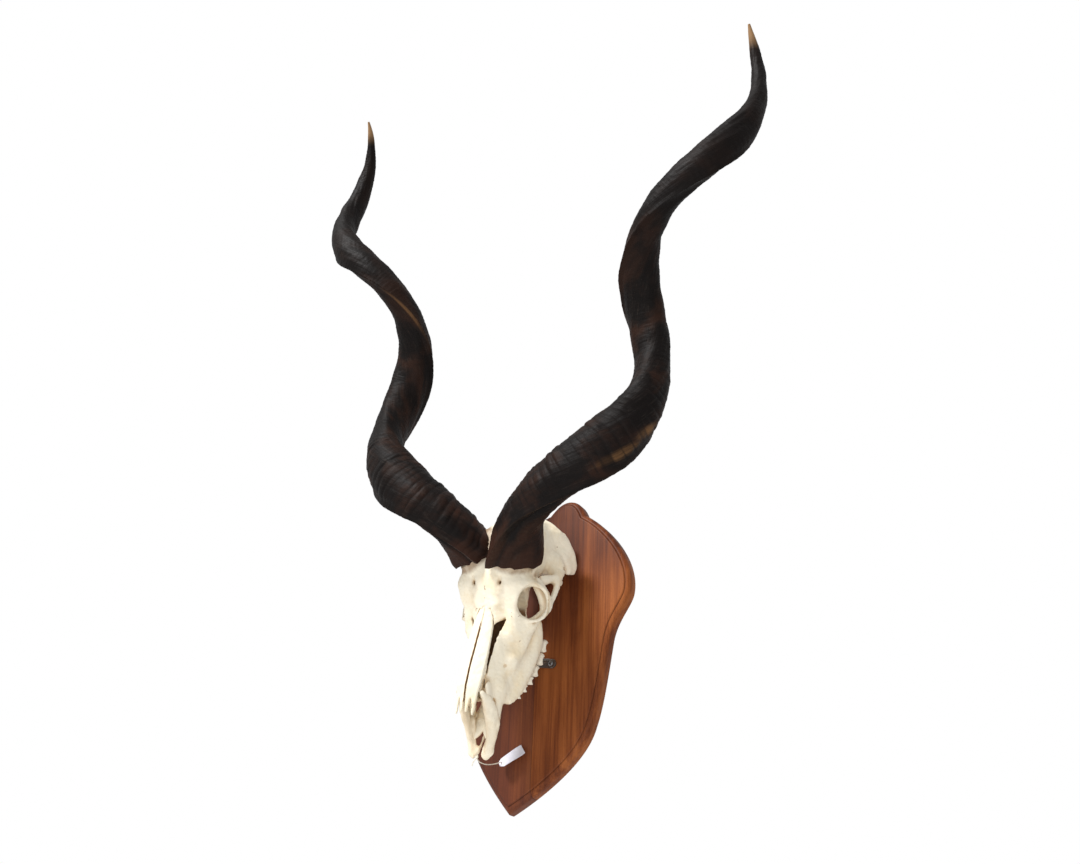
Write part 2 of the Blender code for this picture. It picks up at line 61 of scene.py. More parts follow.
class Side(Enum):
    """The two halves of the animal, as the viewer sees them."""

    LEFT = -1
    RIGHT = 1

    @property
    def label(self) -> str:
        """The side's word in node and piece names."""
        return self.name.lower()


class Slot(Enum):
    """The record's material slots."""

    WOOD = "shield_wood"
    BONE = "bone"
    ENAMEL = "tooth_enamel"
    HORN = "horn"
    STEEL = "steel"
    CARD = "tag_card"
    STRING = "string"


# Curves and noise


def smooth_through(points: Sequence[Sequence[float]], steps: int) -> Array:
    """Catmull-Rom points through every row.

    Args:
        points: Rows, each a place with its radius or other values.
        steps: Points made for each stretch.

    Returns:
        The rows of the smooth curve, ends included.
    """
    rows = np.array(points, float)
    padded = np.vstack([2 * rows[0] - rows[1], rows, 2 * rows[-1] - rows[-2]])
    found = []
    for p0, p1, p2, p3 in zip(padded, padded[1:], padded[2:], padded[3:]):
        for t in np.arange(steps) / steps:
            found.append(
                0.5 * (2 * p1 + (p2 - p0) * t + (2 * p0 - 5 * p1 + 4 * p2 - p3) * t**2
                       + (3 * p1 - p0 - 3 * p2 + p3) * t**3)
            )
    return np.array(found + [rows[-1]])


def ease(low: float, high: float, value: Any) -> Any:
    """Smooth step from 0 at low to 1 at high (low may be the larger)."""
    share = np.clip((value - low) / (high - low), 0, 1)
    return share * share * (3 - 2 * share)


def bell(distance: Any, width: float) -> Any:
    """A bell curve of height 1."""
    return np.exp(-((distance / width) ** 2))


def ripple(points: Array, size: float, seed: int, waves: int = 16) -> Array:
    """Smooth seeded noise of about unit spread.

    Args:
        points: Places, one a row.
        size: Rough width of its lumps.
        seed: Chooses the pattern.
        waves: How many sine waves are summed.

    Returns:
        One value a row.
    """
    rng = np.random.default_rng(seed)
    ways = rng.normal(size=(waves, points.shape[1]))
    ways *= (2 * pi / size) * rng.uniform(0.45, 1.5, (waves, 1)) / np.linalg.norm(ways, axis=1)[:, None]
    phases = rng.uniform(0, 2 * pi, waves)
    return np.sin(points @ ways.T + phases).sum(axis=1) / (waves / 2) ** 0.5


# Shader building


class Wire:
    """A shader socket whose arithmetic adds Math nodes."""

    def __init__(self, shader: "Shader", socket: bpy.types.NodeSocket) -> None:
        """Keeps the socket and the shader that it belongs to."""
        self.shader = shader
        self.socket = socket

    def _math(self, operation: str, first: Any, second: Any) -> "Wire":
        """A Math node of two values."""
        return self.shader.node("ShaderNodeMath", {"operation": operation}, {0: first, 1: second})

    def __add__(self, other: Any) -> "Wire":
        """self + other."""
        return self._math("ADD", self, other)

    __radd__ = __add__

    def __sub__(self, other: Any) -> "Wire":
        """self - other."""
        return self._math("SUBTRACT", self, other)

    def __rsub__(self, other: Any) -> "Wire":
        """other - self."""
        return self._math("SUBTRACT", other, self)

    def __mul__(self, other: Any) -> "Wire":
        """self * other."""
        return self._math("MULTIPLY", self, other)

    __rmul__ = __mul__

    def __abs__(self) -> "Wire":
        """Size without sign."""
        return self._math("ABSOLUTE", self, 0.0)

    def __or__(self, other: Any) -> "Wire":
        """The larger of the two."""
        return self._math("MAXIMUM", self, other)


Colour = tuple[float, float, float]


class Shader:
    """A material being built from nodes."""

    def __init__(self, name: str) -> None:
        """Starts a material with one Principled shader.

        Args:
            name: The material's name.
        """
        self.material = bpy.data.materials.new(name)
        self.material.use_nodes = True
        self.tree = self.material.node_tree
        self.surface = self.tree.nodes["Principled BSDF"]

    def node(self, kind: str, settings: dict[str, Any], inputs: dict[Any, Any], out: Any = 0) -> Wire:
        """Adds any node.

        Args:
            kind: The node's type.
            settings: Its properties; "stops" are a ramp's (place, colour) pairs.
            inputs: Values or wires by socket name or number.
            out: Name or number of the output to return.

        Returns:
            The output as a wire.
        """
        node = self.tree.nodes.new(kind)
        for key, value in settings.items():
            if key == "stops":
                ramp = node.color_ramp.elements
                while len(ramp) < len(value):
                    ramp.new(0.5)
                for element, (place, colour) in zip(ramp, value):
                    element.position = place
                    element.color = (*colour, 1)
            else:
                setattr(node, key, value)
        for key, value in inputs.items():
            self.plug(node.inputs[key], value)
        return Wire(self, node.outputs[out])

    def plug(self, socket: bpy.types.NodeSocket, value: Any) -> None:
        """Sets a socket to a value, or links a wire to it.

        Args:
            socket: The socket.
            value: A value or a wire.
        """
        if isinstance(value, Wire):
            self.tree.links.new(value.socket, socket)
        elif isinstance(value, tuple) and socket.type == "RGBA":
            socket.default_value = (*value, 1)
        else:
            socket.default_value = value

    def place(self) -> Wire:
        """Place on the piece, in metres, in the shared frame."""
        return self.node("ShaderNodeTexCoord", {}, {}, "Object")

    def attribute(self, name: str, out: str = "Fac") -> Wire:
        """A mesh attribute."""
        return self.node("ShaderNodeAttribute", {"attribute_name": name}, {}, out)

    def parts(self, vector: Wire) -> tuple[Wire, Wire, Wire]:
        """The three components of a vector.

        Args:
            vector: The vector.

        Returns:
            Its X, Y and Z.
        """
        split = self.node("ShaderNodeSeparateXYZ", {}, {0: vector})
        outputs = split.socket.node.outputs
        return split, Wire(self, outputs[1]), Wire(self, outputs[2])

    def vector(self, x: Any, y: Any, z: Any) -> Wire:
        """Three components as a vector."""
        return self.node("ShaderNodeCombineXYZ", {}, {0: x, 1: y, 2: z})

    def noise(
        self, vector: Wire, scale: float, detail: float = 3, roughness: float = 0.5, bend: float = 0
    ) -> Wire:
        """Fractal noise about 0.5.

        Args:
            vector: Place to read it at.
            scale: The noise's scale.
            detail: Number of finer layers.
            roughness: Strength of the finer layers.
            bend: How far it is distorted.

        Returns:
            The noise as a wire.
        """
        inputs = {
            "Vector": vector, "Scale": scale, "Detail": detail, "Roughness": roughness, "Distortion": bend,
        }
        return self.node("ShaderNodeTexNoise", {}, inputs)

    def rise(self, value: Any, low: float, high: float) -> Wire:
        """Smooth step from 0 at low to 1 at high."""
        inputs = {"Value": value, "From Min": low, "From Max": high}
        return self.node("ShaderNodeMapRange", {"interpolation_type": "SMOOTHSTEP"}, inputs)

    def mix(self, share: Any, first: Any, second: Any) -> Wire:
        """Blend of two colours."""
        inputs = {"Factor": share, 6: first, 7: second}
        return self.node("ShaderNodeMix", {"data_type": "RGBA"}, inputs, 2)

    def ramp(self, share: Wire, stops: Sequence[tuple[float, Colour]]) -> Wire:
        """Colour ramp."""
        return self.node("ShaderNodeValToRGB", {"stops": stops}, {0: share})

    def bump(self, height: Wire, distance: float, strength: float = 1.0, normal: Wire | None = None) -> Wire:
        """A bumped normal from a height, where distance is the height of 1 in metres.

        Args:
            height: The height.
            distance: Metres that a height of 1 stands for.
            strength: Strength of the bump.
            normal: A normal to bump further.

        Returns:
            The normal as a wire.
        """
        inputs: dict[Any, Any] = {"Height": height, "Distance": distance, "Strength": strength}
        if normal:
            inputs["Normal"] = normal
        return self.node("ShaderNodeBump", {}, inputs)

    def finish(self, **inputs: Any) -> bpy.types.Material:
        """Plugs the Principled shader's sockets; underscores in names stand for spaces.

        Args:
            inputs: Values or wires by socket name.

        Returns:
            The finished material.
        """
        for key, value in inputs.items():
            self.plug(self.surface.inputs[key.replace("_", " ")], value)
        return self.material


class Surround(Shader):
    """A world being built from nodes."""

    def __init__(self, name: str) -> None:
        """Starts a world with one Background.

        Args:
            name: The world's name.
        """
        self.world = bpy.data.worlds.new(name)
        self.world.use_nodes = True
        self.tree = self.world.node_tree
        self.surface = self.tree.nodes["Background"]


@dataclass(frozen=True)
class BoneFinish:
    """Bleached bone with painted shade: yellow-brown in its hollows and browner inside the nasal cavity, the
    temporal hollows and the brow foramina; brown where it is stained.
    """

    name: str = "bleached_bone"
    light: Colour = (0.90, 0.82, 0.655)
    warm: Colour = (0.84, 0.68, 0.43)
    hollow: Colour = (0.56, 0.38, 0.19)
    stain: Colour = (0.22, 0.115, 0.045)
    roughness: float = 0.52

    def material(self) -> bpy.types.Material:
        """Builds the material; it reads the attributes hollow and stain.

        Returns:
            The material.
        """
        shader = Shader(self.name)
        place = shader.place()
        cloud = shader.noise(place, 22, 4, 0.6, 0.4)
        fine = shader.noise(place, 160, 5, 0.65)
        pores = shader.rise(shader.noise(place, 620, 2, 0.5), 0.62, 0.74)
        patches = shader.noise(place, 60, 4, 0.6, 0.8)
        hollow = shader.attribute("hollow")
        stain = shader.attribute("stain")
        colour = shader.mix(shader.rise(cloud, 0.44, 0.72) * 0.62, self.light, self.warm)
        colour = shader.mix(shader.rise(fine, 0.52, 0.8) * 0.35, colour, self.warm)
        # Painted shade: hollows are darkened towards the yellow-brown shade colour.
        shaded = shader.rise(hollow + patches * 0.25 - 0.12, 0.15, 1.0) * 0.85
        colour = shader.mix(shaded, colour, self.hollow)
        # Brown round the horns and along the sutures, with painted shade in the temporal hollows, brow
        # foramina and nasal cavity.
        colour = shader.mix(shader.rise(stain * (patches + 0.45), 0.12, 0.75), colour, self.stain)
        # Pores are darkened with the same yellow-brown colour.
        colour = shader.mix(pores * 0.28, colour, self.hollow)
        height = fine * 0.7 + patches * 0.5 - pores * 0.35
        normal = shader.bump(height, 0.0007, 0.55)
        roughness = fine * 0.22 + (self.roughness - 0.08)
        return shader.finish(Base_Color=colour, Roughness=roughness, Normal=normal, Specular_IOR_Level=0.4)


@dataclass(frozen=True)
class EnamelFinish:
    """Tooth enamel: cream, streaked with brown towards the root and in the folds."""

    name: str = "tooth_enamel"
    light: Colour = (0.86, 0.79, 0.64)
    brown: Colour = (0.30, 0.17, 0.07)

    def material(self) -> bpy.types.Material:
        """Builds the material; it reads the attribute hollow.

        Returns:
            The material.
        """
        shader = Shader(self.name)
        x, y, z = shader.parts(shader.place())
        streaks = shader.noise(shader.vector(x * 500, y * 60, z * 500), 1, 4, 0.6)
        hollow = shader.attribute("hollow")
        colour = shader.mix(shader.rise(streaks, 0.5, 0.8) * 0.5, self.light, self.brown)
        colour = shader.mix(shader.rise(hollow, 0.2, 1.0) * 0.8, colour, self.brown)
        normal = shader.bump(streaks, 0.0004, 0.5)
        return shader.finish(Base_Color=colour, Roughness=0.32, Normal=normal)


@dataclass(frozen=True)
class HornFinish:
    """Dark fibrous horn, browner at the base, worn golden on its bends and pale at the tips, with painted
    shade in the creases between growth rings and in the groove under the keel.
    """

    name: str = "dark_horn"
    dark: Colour = (0.0050, 0.0034, 0.0030)
    brown: Colour = (0.030, 0.0125, 0.0072)
    ember: Colour = (0.036, 0.0145, 0.0085)
    grey: Colour = (0.036, 0.029, 0.024)
    gold: Colour = (0.17, 0.085, 0.033)
    tip: Colour = (0.30, 0.175, 0.085)

    def material(self) -> bpy.types.Material:
        """Builds the material.

        It reads horn_coord, a straightened place in metres, and wear, base, tip and crease.

        Returns:
            The material.
        """
        shader = Shader(self.name)
        straight = shader.attribute("horn_coord", "Vector")
        along, first, second = shader.parts(straight)
        fibres = shader.noise(shader.vector(along * 14, first * 420, second * 420), 1, 4, 0.62, 0.25)
        flakes = shader.noise(shader.vector(along * 75, first * 150, second * 150), 1, 4, 0.6, 0.6)
        clouds = shader.noise(shader.vector(along * 16, first * 26, second * 26), 1, 3, 0.55, 0.5)
        growth = shader.noise(shader.vector(along * 420, first * 24, second * 24), 1, 3, 0.55, 0.8)
        wear, base, tip = shader.attribute("wear"), shader.attribute("base"), shader.attribute("tip")
        crease = shader.attribute("crease")
        colour = shader.mix(shader.rise(clouds, 0.42, 0.72) * 0.75, self.dark, self.brown)
        colour = shader.mix(shader.rise(base * (clouds + 0.35), 0.25, 0.85) * 0.85, colour, self.ember)
        colour = shader.mix(shader.rise(fibres * flakes, 0.27, 0.5) * 0.55, colour, self.grey)
        colour = shader.mix(shader.rise(growth * fibres, 0.30, 0.55) * 0.4, colour, self.brown)
        colour = shader.mix(shader.rise(along, 0.55, 0.85) * 0.75, colour, self.dark)
        worn = shader.rise(wear * (fibres * 0.6 + clouds * 0.8), 0.2, 0.95) * 0.8
        colour = shader.mix(worn, colour, self.gold)
        # Painted shade in the creases between growth rings and in the groove under the keel.
        colour = shader.mix(crease * 0.75, colour, self.dark)
        colour = shader.mix(shader.rise(tip + fibres * 0.4 - 0.2, 0.2, 1.0) * 0.9, colour, self.tip)
        height = fibres * 0.6 + flakes * 0.35 + growth * 0.4
        normal = shader.bump(height, 0.0014, 0.6)
        roughness = flakes * 0.35 + 0.36
        return shader.finish(Base_Color=colour, Roughness=roughness, Normal=normal, Specular_IOR_Level=0.09)


@dataclass(frozen=True)
class WoodFinish:
    """Varnished hardwood from two boards, with grain that leans a little across the shield, painted shadow
    darkening it towards the top, and a painted shade line in the moulding's groove.
    """

    name: str = "varnished_hardwood"
    lean: float = 10.6
    joint: float = -7.5
    colours: tuple[Colour, ...] = (
        (0.042, 0.0105, 0.004), (0.100, 0.024, 0.0075), (0.178, 0.047, 0.0125), (0.31, 0.095, 0.025),
    )
    dark: Colour = (0.040, 0.012, 0.007)
    purple: Colour = (0.115, 0.040, 0.026)

    def material(self) -> bpy.types.Material:
        """Builds the material; it reads the attribute groove, a painted shade line along the moulding.

        Returns:
            The material.
        """
        shader = Shader(self.name)
        x, y, z = shader.parts(shader.place())
        c, s = cos(radians(self.lean)), sin(radians(self.lean))
        across, along = x * c + z * s, z * c - x * s
        figure = shader.noise(shader.vector(across * 17, y * 17, along * 1.5), 1, 3, 0.5, 0.9)
        bands = shader.noise(shader.vector(across * 75, y * 75, along * 2.4), 1, 4, 0.55, 0.35)
        lines = shader.noise(shader.vector(across * 420, y * 420, along * 7), 1, 3, 0.6, 0.2)
        pores = shader.noise(shader.vector(across * 1500, y * 1500, along * 45), 1, 2, 0.5)
        glow = shader.noise(shader.vector(across * 9, y * 9, along * 5), 1, 2, 0.5, 0.5)
        left_board = shader.rise(across, (self.joint + 0.4) * MM, (self.joint - 0.4) * MM)
        tone = figure * 0.55 + bands * 0.32 + lines * 0.22 + glow * 0.28 + 0.05 - left_board * 0.07
        # Painted shadow: the board darkens towards its top, where the skull and horns shade it.
        tone = tone - shader.rise(z, 0.0, 0.22) * 0.13
        dark, brown, red, orange = self.colours
        stops = ((0.0, dark), (0.28, brown), (0.56, red), (0.92, orange))
        colour = shader.ramp(shader.rise(tone, 0.48, 0.95), stops)
        colour = shader.mix(left_board * 0.42, colour, self.purple)
        colour = shader.mix(shader.rise(pores, 0.6, 0.75) * 0.5, colour, self.dark)
        seam = 1 - shader.rise(abs(across - self.joint * MM), 0.0, 0.0011)
        groove = shader.attribute("groove")
        # Painted shade in the moulding's groove, joined with the dark glue line of the board seam.
        colour = shader.mix((groove * 0.6 | seam) * 0.7, colour, self.dark)
        normal = shader.bump(lines * 0.5 + shader.rise(pores, 0.55, 0.8) * -0.5 + bands * 0.3, 0.0003, 0.4)
        return shader.finish(
            Base_Color=colour, Roughness=lines * 0.2 + 0.34, Normal=normal, Specular_IOR_Level=0.13
        )


@dataclass(frozen=True)
class SteelFinish:
    """Dull steel with fine scratches and a little rust-coloured dirt."""

    name: str = "dull_steel"
    colour: Colour = (0.24, 0.23, 0.225)
    dirt: Colour = (0.07, 0.045, 0.032)

    def material(self) -> bpy.types.Material:
        """Builds the material.

        Returns:
            The material.
        """
        shader = Shader(self.name)
        x, y, z = shader.parts(shader.place())
        scratches = shader.noise(shader.vector(x * 90, y * 900, z * 1400), 1, 4, 0.6)
        spots = shader.rise(shader.noise(shader.place(), 210, 4, 0.6), 0.52, 0.72)
        colour = shader.mix(spots * 0.7, self.colour, self.dirt)
        normal = shader.bump(scratches, 0.0001, 0.5)
        metallic = 1 - spots * 0.5
        roughness = scratches * 0.25 + 0.18
        return shader.finish(Base_Color=colour, Roughness=roughness, Metallic=metallic, Normal=normal)


@dataclass(frozen=True)
class CardFinish:
    """Plain white card with a faint mottle and soft fibres."""

    name: str = "white_card"
    colour: Colour = (0.70, 0.69, 0.76)
    shade: Colour = (0.58, 0.57, 0.63)

    def material(self) -> bpy.types.Material:
        """Builds the material.

        Returns:
            The material.
        """
        shader = Shader(self.name)
        place = shader.place()
        mottle = shader.noise(place, 150, 4, 0.6)
        fibres = shader.noise(place, 1600, 3, 0.6)
        colour = shader.mix(shader.rise(mottle, 0.4, 0.8) * 0.5, self.colour, self.shade)
        normal = shader.bump(fibres, 0.0001, 0.5)
        return shader.finish(Base_Color=colour, Roughness=fibres * 0.2 + 0.55, Normal=normal)


@dataclass(frozen=True)
class StringFinish:
    """Cream cotton string: two twisted strands."""

    name: str = "cotton_string"
    colour: Colour = (0.88, 0.83, 0.70)
    shade: Colour = (0.62, 0.54, 0.41)

    def material(self) -> bpy.types.Material:
        """Builds the material.

        Returns:
            The material.
        """
        shader = Shader(self.name)
        x, y, z = shader.parts(shader.place())
        strands = shader.noise(shader.vector(x * 900 + y * 700, y * 300 - x * 300, z * 1400 + y * 900), 1, 2)
        colour = shader.mix(shader.rise(strands, 0.35, 0.65), self.shade, self.colour)
        return shader.finish(Base_Color=colour, Roughness=0.85, Normal=shader.bump(strands, 0.0005, 0.7))


@dataclass(frozen=True)
class FloorFinish:
    """Matt white studio floor with the faintest mottle."""

    name: str = "studio_floor"
    colour: Colour = (0.86, 0.86, 0.86)
    shade: Colour = (0.82, 0.82, 0.82)

    def material(self) -> bpy.types.Material:
        """Builds the material.

        Returns:
            The material.
        """
        shader = Shader(self.name)
        mottle = shader.noise(shader.place(), 6, 4)
        return shader.finish(Base_Color=shader.mix(mottle, self.colour, self.shade), Roughness=0.8)


# Pieces


def make_piece(
    name: str,
    points: Array,
    faces: Sequence[Sequence[int]],
    material: bpy.types.Material,
    replaces: str,
    attributes: dict[str, Array] | None = None,
    sharp: float = 60,
) -> bpy.types.Object:
    """Makes a mesh object that rides on the frame in place of one CAD node.

    Args:
        name: The piece's name.
        points: Places in millimetres.
        faces: Point numbers of each face, turning outwards.
        material: Its finish.
        replaces: The CAD node that it stands for.
        attributes: Values a point, or vectors a point, for the finish to read.
        sharp: Angle in degrees above which an edge shows as sharp.

    Returns:
        The object.
    """
    data = bpy.data.meshes.new(name)
    data.from_pydata((points * MM).tolist(), [], [list(map(int, face)) for face in faces])
    data.validate()
    data.shade_smooth()
    data.set_sharp_from_angle(angle=radians(sharp))
    for key, values in (attributes or {}).items():
        kind = "FLOAT_VECTOR" if values.ndim == 2 else "FLOAT"
        layer = data.attributes.new(key, kind, "POINT")
        layer.data.foreach_set("vector" if values.ndim == 2 else "value", values.astype(np.float32).ravel())
    data.materials.append(material)
    item = bpy.data.objects.new(name, data)
    bpy.context.scene.collection.objects.link(item)
    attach(item, "root")
    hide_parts(replaces)
    log.info("%s: %d points", name, len(points))
    return item


def tube_faces(rings: int, sides: int, caps: bool = True) -> list[tuple[int, ...]]:
    """Faces of rings of equal point counts, joined in order and capped at both ends.

    Args:
        rings: Number of rings.
        sides: Points in each ring.
        caps: Whether the ends are closed.

    Returns:
        Point numbers of each face.
    """
    faces: list[tuple[int, ...]] = []
    for i in range(rings - 1):
        for j in range(sides):
            k = (j + 1) % sides
            faces.append((i * sides + j, i * sides + k, (i + 1) * sides + k, (i + 1) * sides + j))
    if caps:
        faces.append(tuple(range(sides))[::-1])
        faces.append(tuple((rings - 1) * sides + j for j in range(sides)))
    return faces


def facing_out(points: Array, faces: list[tuple[int, ...]]) -> list[tuple[int, ...]]:
    """The faces, all turned round if they enclose a negative volume.

    Args:
        points: Places, one a row.
        faces: Point numbers of each face.

    Returns:
        The faces, turning outwards.
    """
    volume = 0.0
    for face in faces:
        first = points[face[0]]
        for b, c in zip(face[1:], face[2:]):
            volume += float(np.dot(first, np.cross(points[b], points[c])))
    return faces if volume > 0 else [face[::-1] for face in faces]


# Clay


class Shape:
    """A solid known by its distance field."""

    low: Array
    high: Array

    def distance(self, x: Array, y: Array, z: Array) -> Array:
        """Signed distance, negative inside."""
        raise NotImplementedError


class Bar(Shape):
    """A chain of round cones through (x, y, z, radius) rows, which may be flattened across one direction."""

    def __init__(
        self, route: Sequence[Sequence[float]], steps: int = 3, across: Point = (0, 1, 0), thin: float = 1
    ) -> None:
        """Smooths the route.

        Args:
            route: Rows of (x, y, z, radius).
            steps: Points for each stretch of the smooth curve.
            across: Direction in which the bar is flattened.
            thin: Its thickness there as a share of its radius.
        """
        self.rows = smooth_through(route, steps) if steps > 1 else np.array(route, float)
        reach = self.rows[:, 3:].max()
        self.low = self.rows[:, :3].min(axis=0) - reach
        self.high = self.rows[:, :3].max(axis=0) + reach
        self.across = np.array(across, float) / np.linalg.norm(across)
        self.thin = thin

    def distance(self, x: Array, y: Array, z: Array) -> Array:
        """Signed distance to the nearest stretch.

        Args:
            x: X of each place.
            y: Y of each place.
            z: Z of each place.

        Returns:
            Distances, negative inside.
        """
        best: Any = np.inf
        more = 1 / self.thin - 1
        for start, end in zip(self.rows, self.rows[1:]):
            dx, dy, dz = x - start[0], y - start[1], z - start[2]
            way = end[:3] - start[:3]
            if more:
                lean = (dx * self.across[0] + dy * self.across[1] + dz * self.across[2]) * more
                dx, dy, dz = (d + lean * part for d, part in zip((dx, dy, dz), self.across))
                way = way + (way @ self.across) * more * self.across
            t = np.clip((dx * way[0] + dy * way[1] + dz * way[2]) / (way @ way), 0, 1)
            off = np.sqrt((dx - t * way[0]) ** 2 + (dy - t * way[1]) ** 2 + (dz - t * way[2]) ** 2)
            best = np.minimum(best, off - (start[3] + t * (end[3] - start[3])))
        return best * (self.thin if more else 1)


class Blob(Shape):
    """An ellipsoid along the axes."""

    def __init__(self, centre: Point, radii: Point) -> None:
        """Keeps the centre and the radii."""
        self.centre, self.radii = np.array(centre, float), np.array(radii, float)
        self.low, self.high = self.centre - self.radii, self.centre + self.radii

    def distance(self, x: Array, y: Array, z: Array) -> Array:
        """Signed distance, exact at the surface.

        Args:
            x: X of each place.
            y: Y of each place.
            z: Z of each place.

        Returns:
            Distances, negative inside.
        """
        own = (x - self.centre[0], y - self.centre[1], z - self.centre[2])
        near = np.sqrt(sum((own[k] / self.radii[k]) ** 2 for k in range(3))) + 1e-6
        slope = np.sqrt(sum((own[k] / self.radii[k] ** 2) ** 2 for k in range(3))) + 1e-6
        return near * (near - 1) / slope


class Core(Shape):
    """Rounded sections stacked in Z.

    Each row is z, front y, back y, half width at the back and half width in front.
    """

    power = 2.5

    def __init__(
        self,
        stations: Sequence[Sequence[float]],
        erode: float = 0,
        z_range: tuple[float, float] = (-1e3, 1e3),
    ) -> None:
        """Keeps the stations, how much the surface is moved in, and the stretch of Z that it fills.

        Args:
            stations: The sections, one a row.
            erode: How far the surface is moved in.
            z_range: Lowest and highest Z that it fills.
        """
        rows = smooth_through(stations, 4)
        self.rows = rows[np.argsort(rows[:, 0])]
        self.erode = erode
        self.z_range = (max(z_range[0], self.rows[0, 0]), min(z_range[1], self.rows[-1, 0]))
        half = self.rows[:, 3:].max()
        self.low = np.array((-half, self.rows[:, 1].min(), self.z_range[0]))
        self.high = np.array((half, self.rows[:, 2].max(), self.z_range[1]))

    def distance(self, x: Array, y: Array, z: Array) -> Array:
        """Signed distance, close to exact near the surface.

        Args:
            x: X of each place.
            y: Y of each place.
            z: Z of each place.

        Returns:
            Distances, negative inside.
        """
        front, back, rear, fore = (np.interp(z, self.rows[:, 0], self.rows[:, k]) for k in (1, 2, 3, 4))
        depth = (back - front) / 2
        across = (y - (front + back) / 2) / depth
        half = rear + (fore - rear) * (1 - np.clip(across, -1, 1)) / 2
        u, v = np.abs(x / half), np.abs(across)
        size = (u**self.power + v**self.power) ** (1 / self.power) + 1e-6
        slope = np.hypot((u / size) ** (self.power - 1) / half, (v / size) ** (self.power - 1) / depth) + 2e-3
        found = (size - 1) / slope + self.erode
        return np.maximum(found, np.maximum(z - self.z_range[1], self.z_range[0] - z))


class Slab(Shape):
    """An outline in X and Z, extruded in Y between two depths, and leaning in X as it goes back."""

    def __init__(
        self, outline: Sequence[Sequence[float]], front: float, back: float, lean: float = 0
    ) -> None:
        """Keeps the closed outline, its two Y limits and how far X moves for each step in Y.

        Args:
            outline: Corners of the closed outline, as X and Z.
            front: Its lowest Y.
            back: Its highest Y.
            lean: How far X moves for each step in Y.
        """
        self.outline = np.array(outline, float)
        self.front, self.back, self.lean = front, back, lean
        shift = abs(lean) * (back - front)
        self.low = np.array((self.outline[:, 0].min() - shift, front, self.outline[:, 1].min()))
        self.high = np.array((self.outline[:, 0].max() + shift, back, self.outline[:, 1].max()))

    def distance(self, x: Array, y: Array, z: Array) -> Array:
        """Signed distance.

        Args:
            x: X of each place.
            y: Y of each place.
            z: Z of each place.

        Returns:
            Distances, negative inside.
        """
        x = x - self.lean * (y - self.front)
        flat = outline_distance(self.outline, x, z)
        return np.maximum(flat, np.maximum(self.front - y, y - self.back))


def outline_distance(outline: Array, x: Array, z: Array) -> Array:
    """Signed distance in the plane to a closed outline, negative inside.

    Args:
        outline: Corners of the closed outline, as X and Z.
        x: X of each place.
        z: Z of each place.

    Returns:
        Distances, negative inside.
    """
    best: Any = np.inf
    inside: Any = False
    for (ax, az), (bx, bz) in zip(outline, np.roll(outline, -1, axis=0)):
        wx, wz = bx - ax, bz - az
        dx, dz = x - ax, z - az
        t = np.clip((dx * wx + dz * wz) / (wx * wx + wz * wz), 0, 1)
        best = np.minimum(best, (dx - t * wx) ** 2 + (dz - t * wz) ** 2)
        crosses = ((az > z) != (bz > z)) & (dx < (dz * wx / wz if wz else 0 * dz))
        inside = inside ^ crosses
    return np.where(inside, -1, 1) * np.sqrt(best)


class Above(Shape):
    """What lies above a plane, within a radius of a point on it."""

    def __init__(self, centre: Array, normal: Array, radius: float, height: float) -> None:
        """Keeps the plane and how far the cut reaches round and above the centre."""
        self.centre, self.normal, self.radius, self.height = centre, normal, radius, height
        self.low, self.high = centre - radius, centre + radius

    def distance(self, x: Array, y: Array, z: Array) -> Array:
        """Signed distance.

        Args:
            x: X of each place.
            y: Y of each place.
            z: Z of each place.

        Returns:
            Distances, negative inside.
        """
        d = (x - self.centre[0], y - self.centre[1], z - self.centre[2])
        lift = sum(part * n for part, n in zip(d, self.normal))
        round_it = np.sqrt(sum(part**2 for part in d)) - self.radius
        return np.maximum(np.maximum(-lift, round_it), lift - self.height)


def soft_min(first: Array, second: Array, blend: float) -> Array:
    """The smaller of two distances, rounded over where they are alike.

    Args:
        first: One distance.
        second: The other distance.
        blend: Width of the rounding, in millimetres.

    Returns:
        The joined distance.
    """
    if blend <= 0:
        return np.minimum(first, second)
    share = np.clip(0.5 + 0.5 * (second - first) / blend, 0, 1)
    return second * (1 - share) + first * share - blend * share * (1 - share)


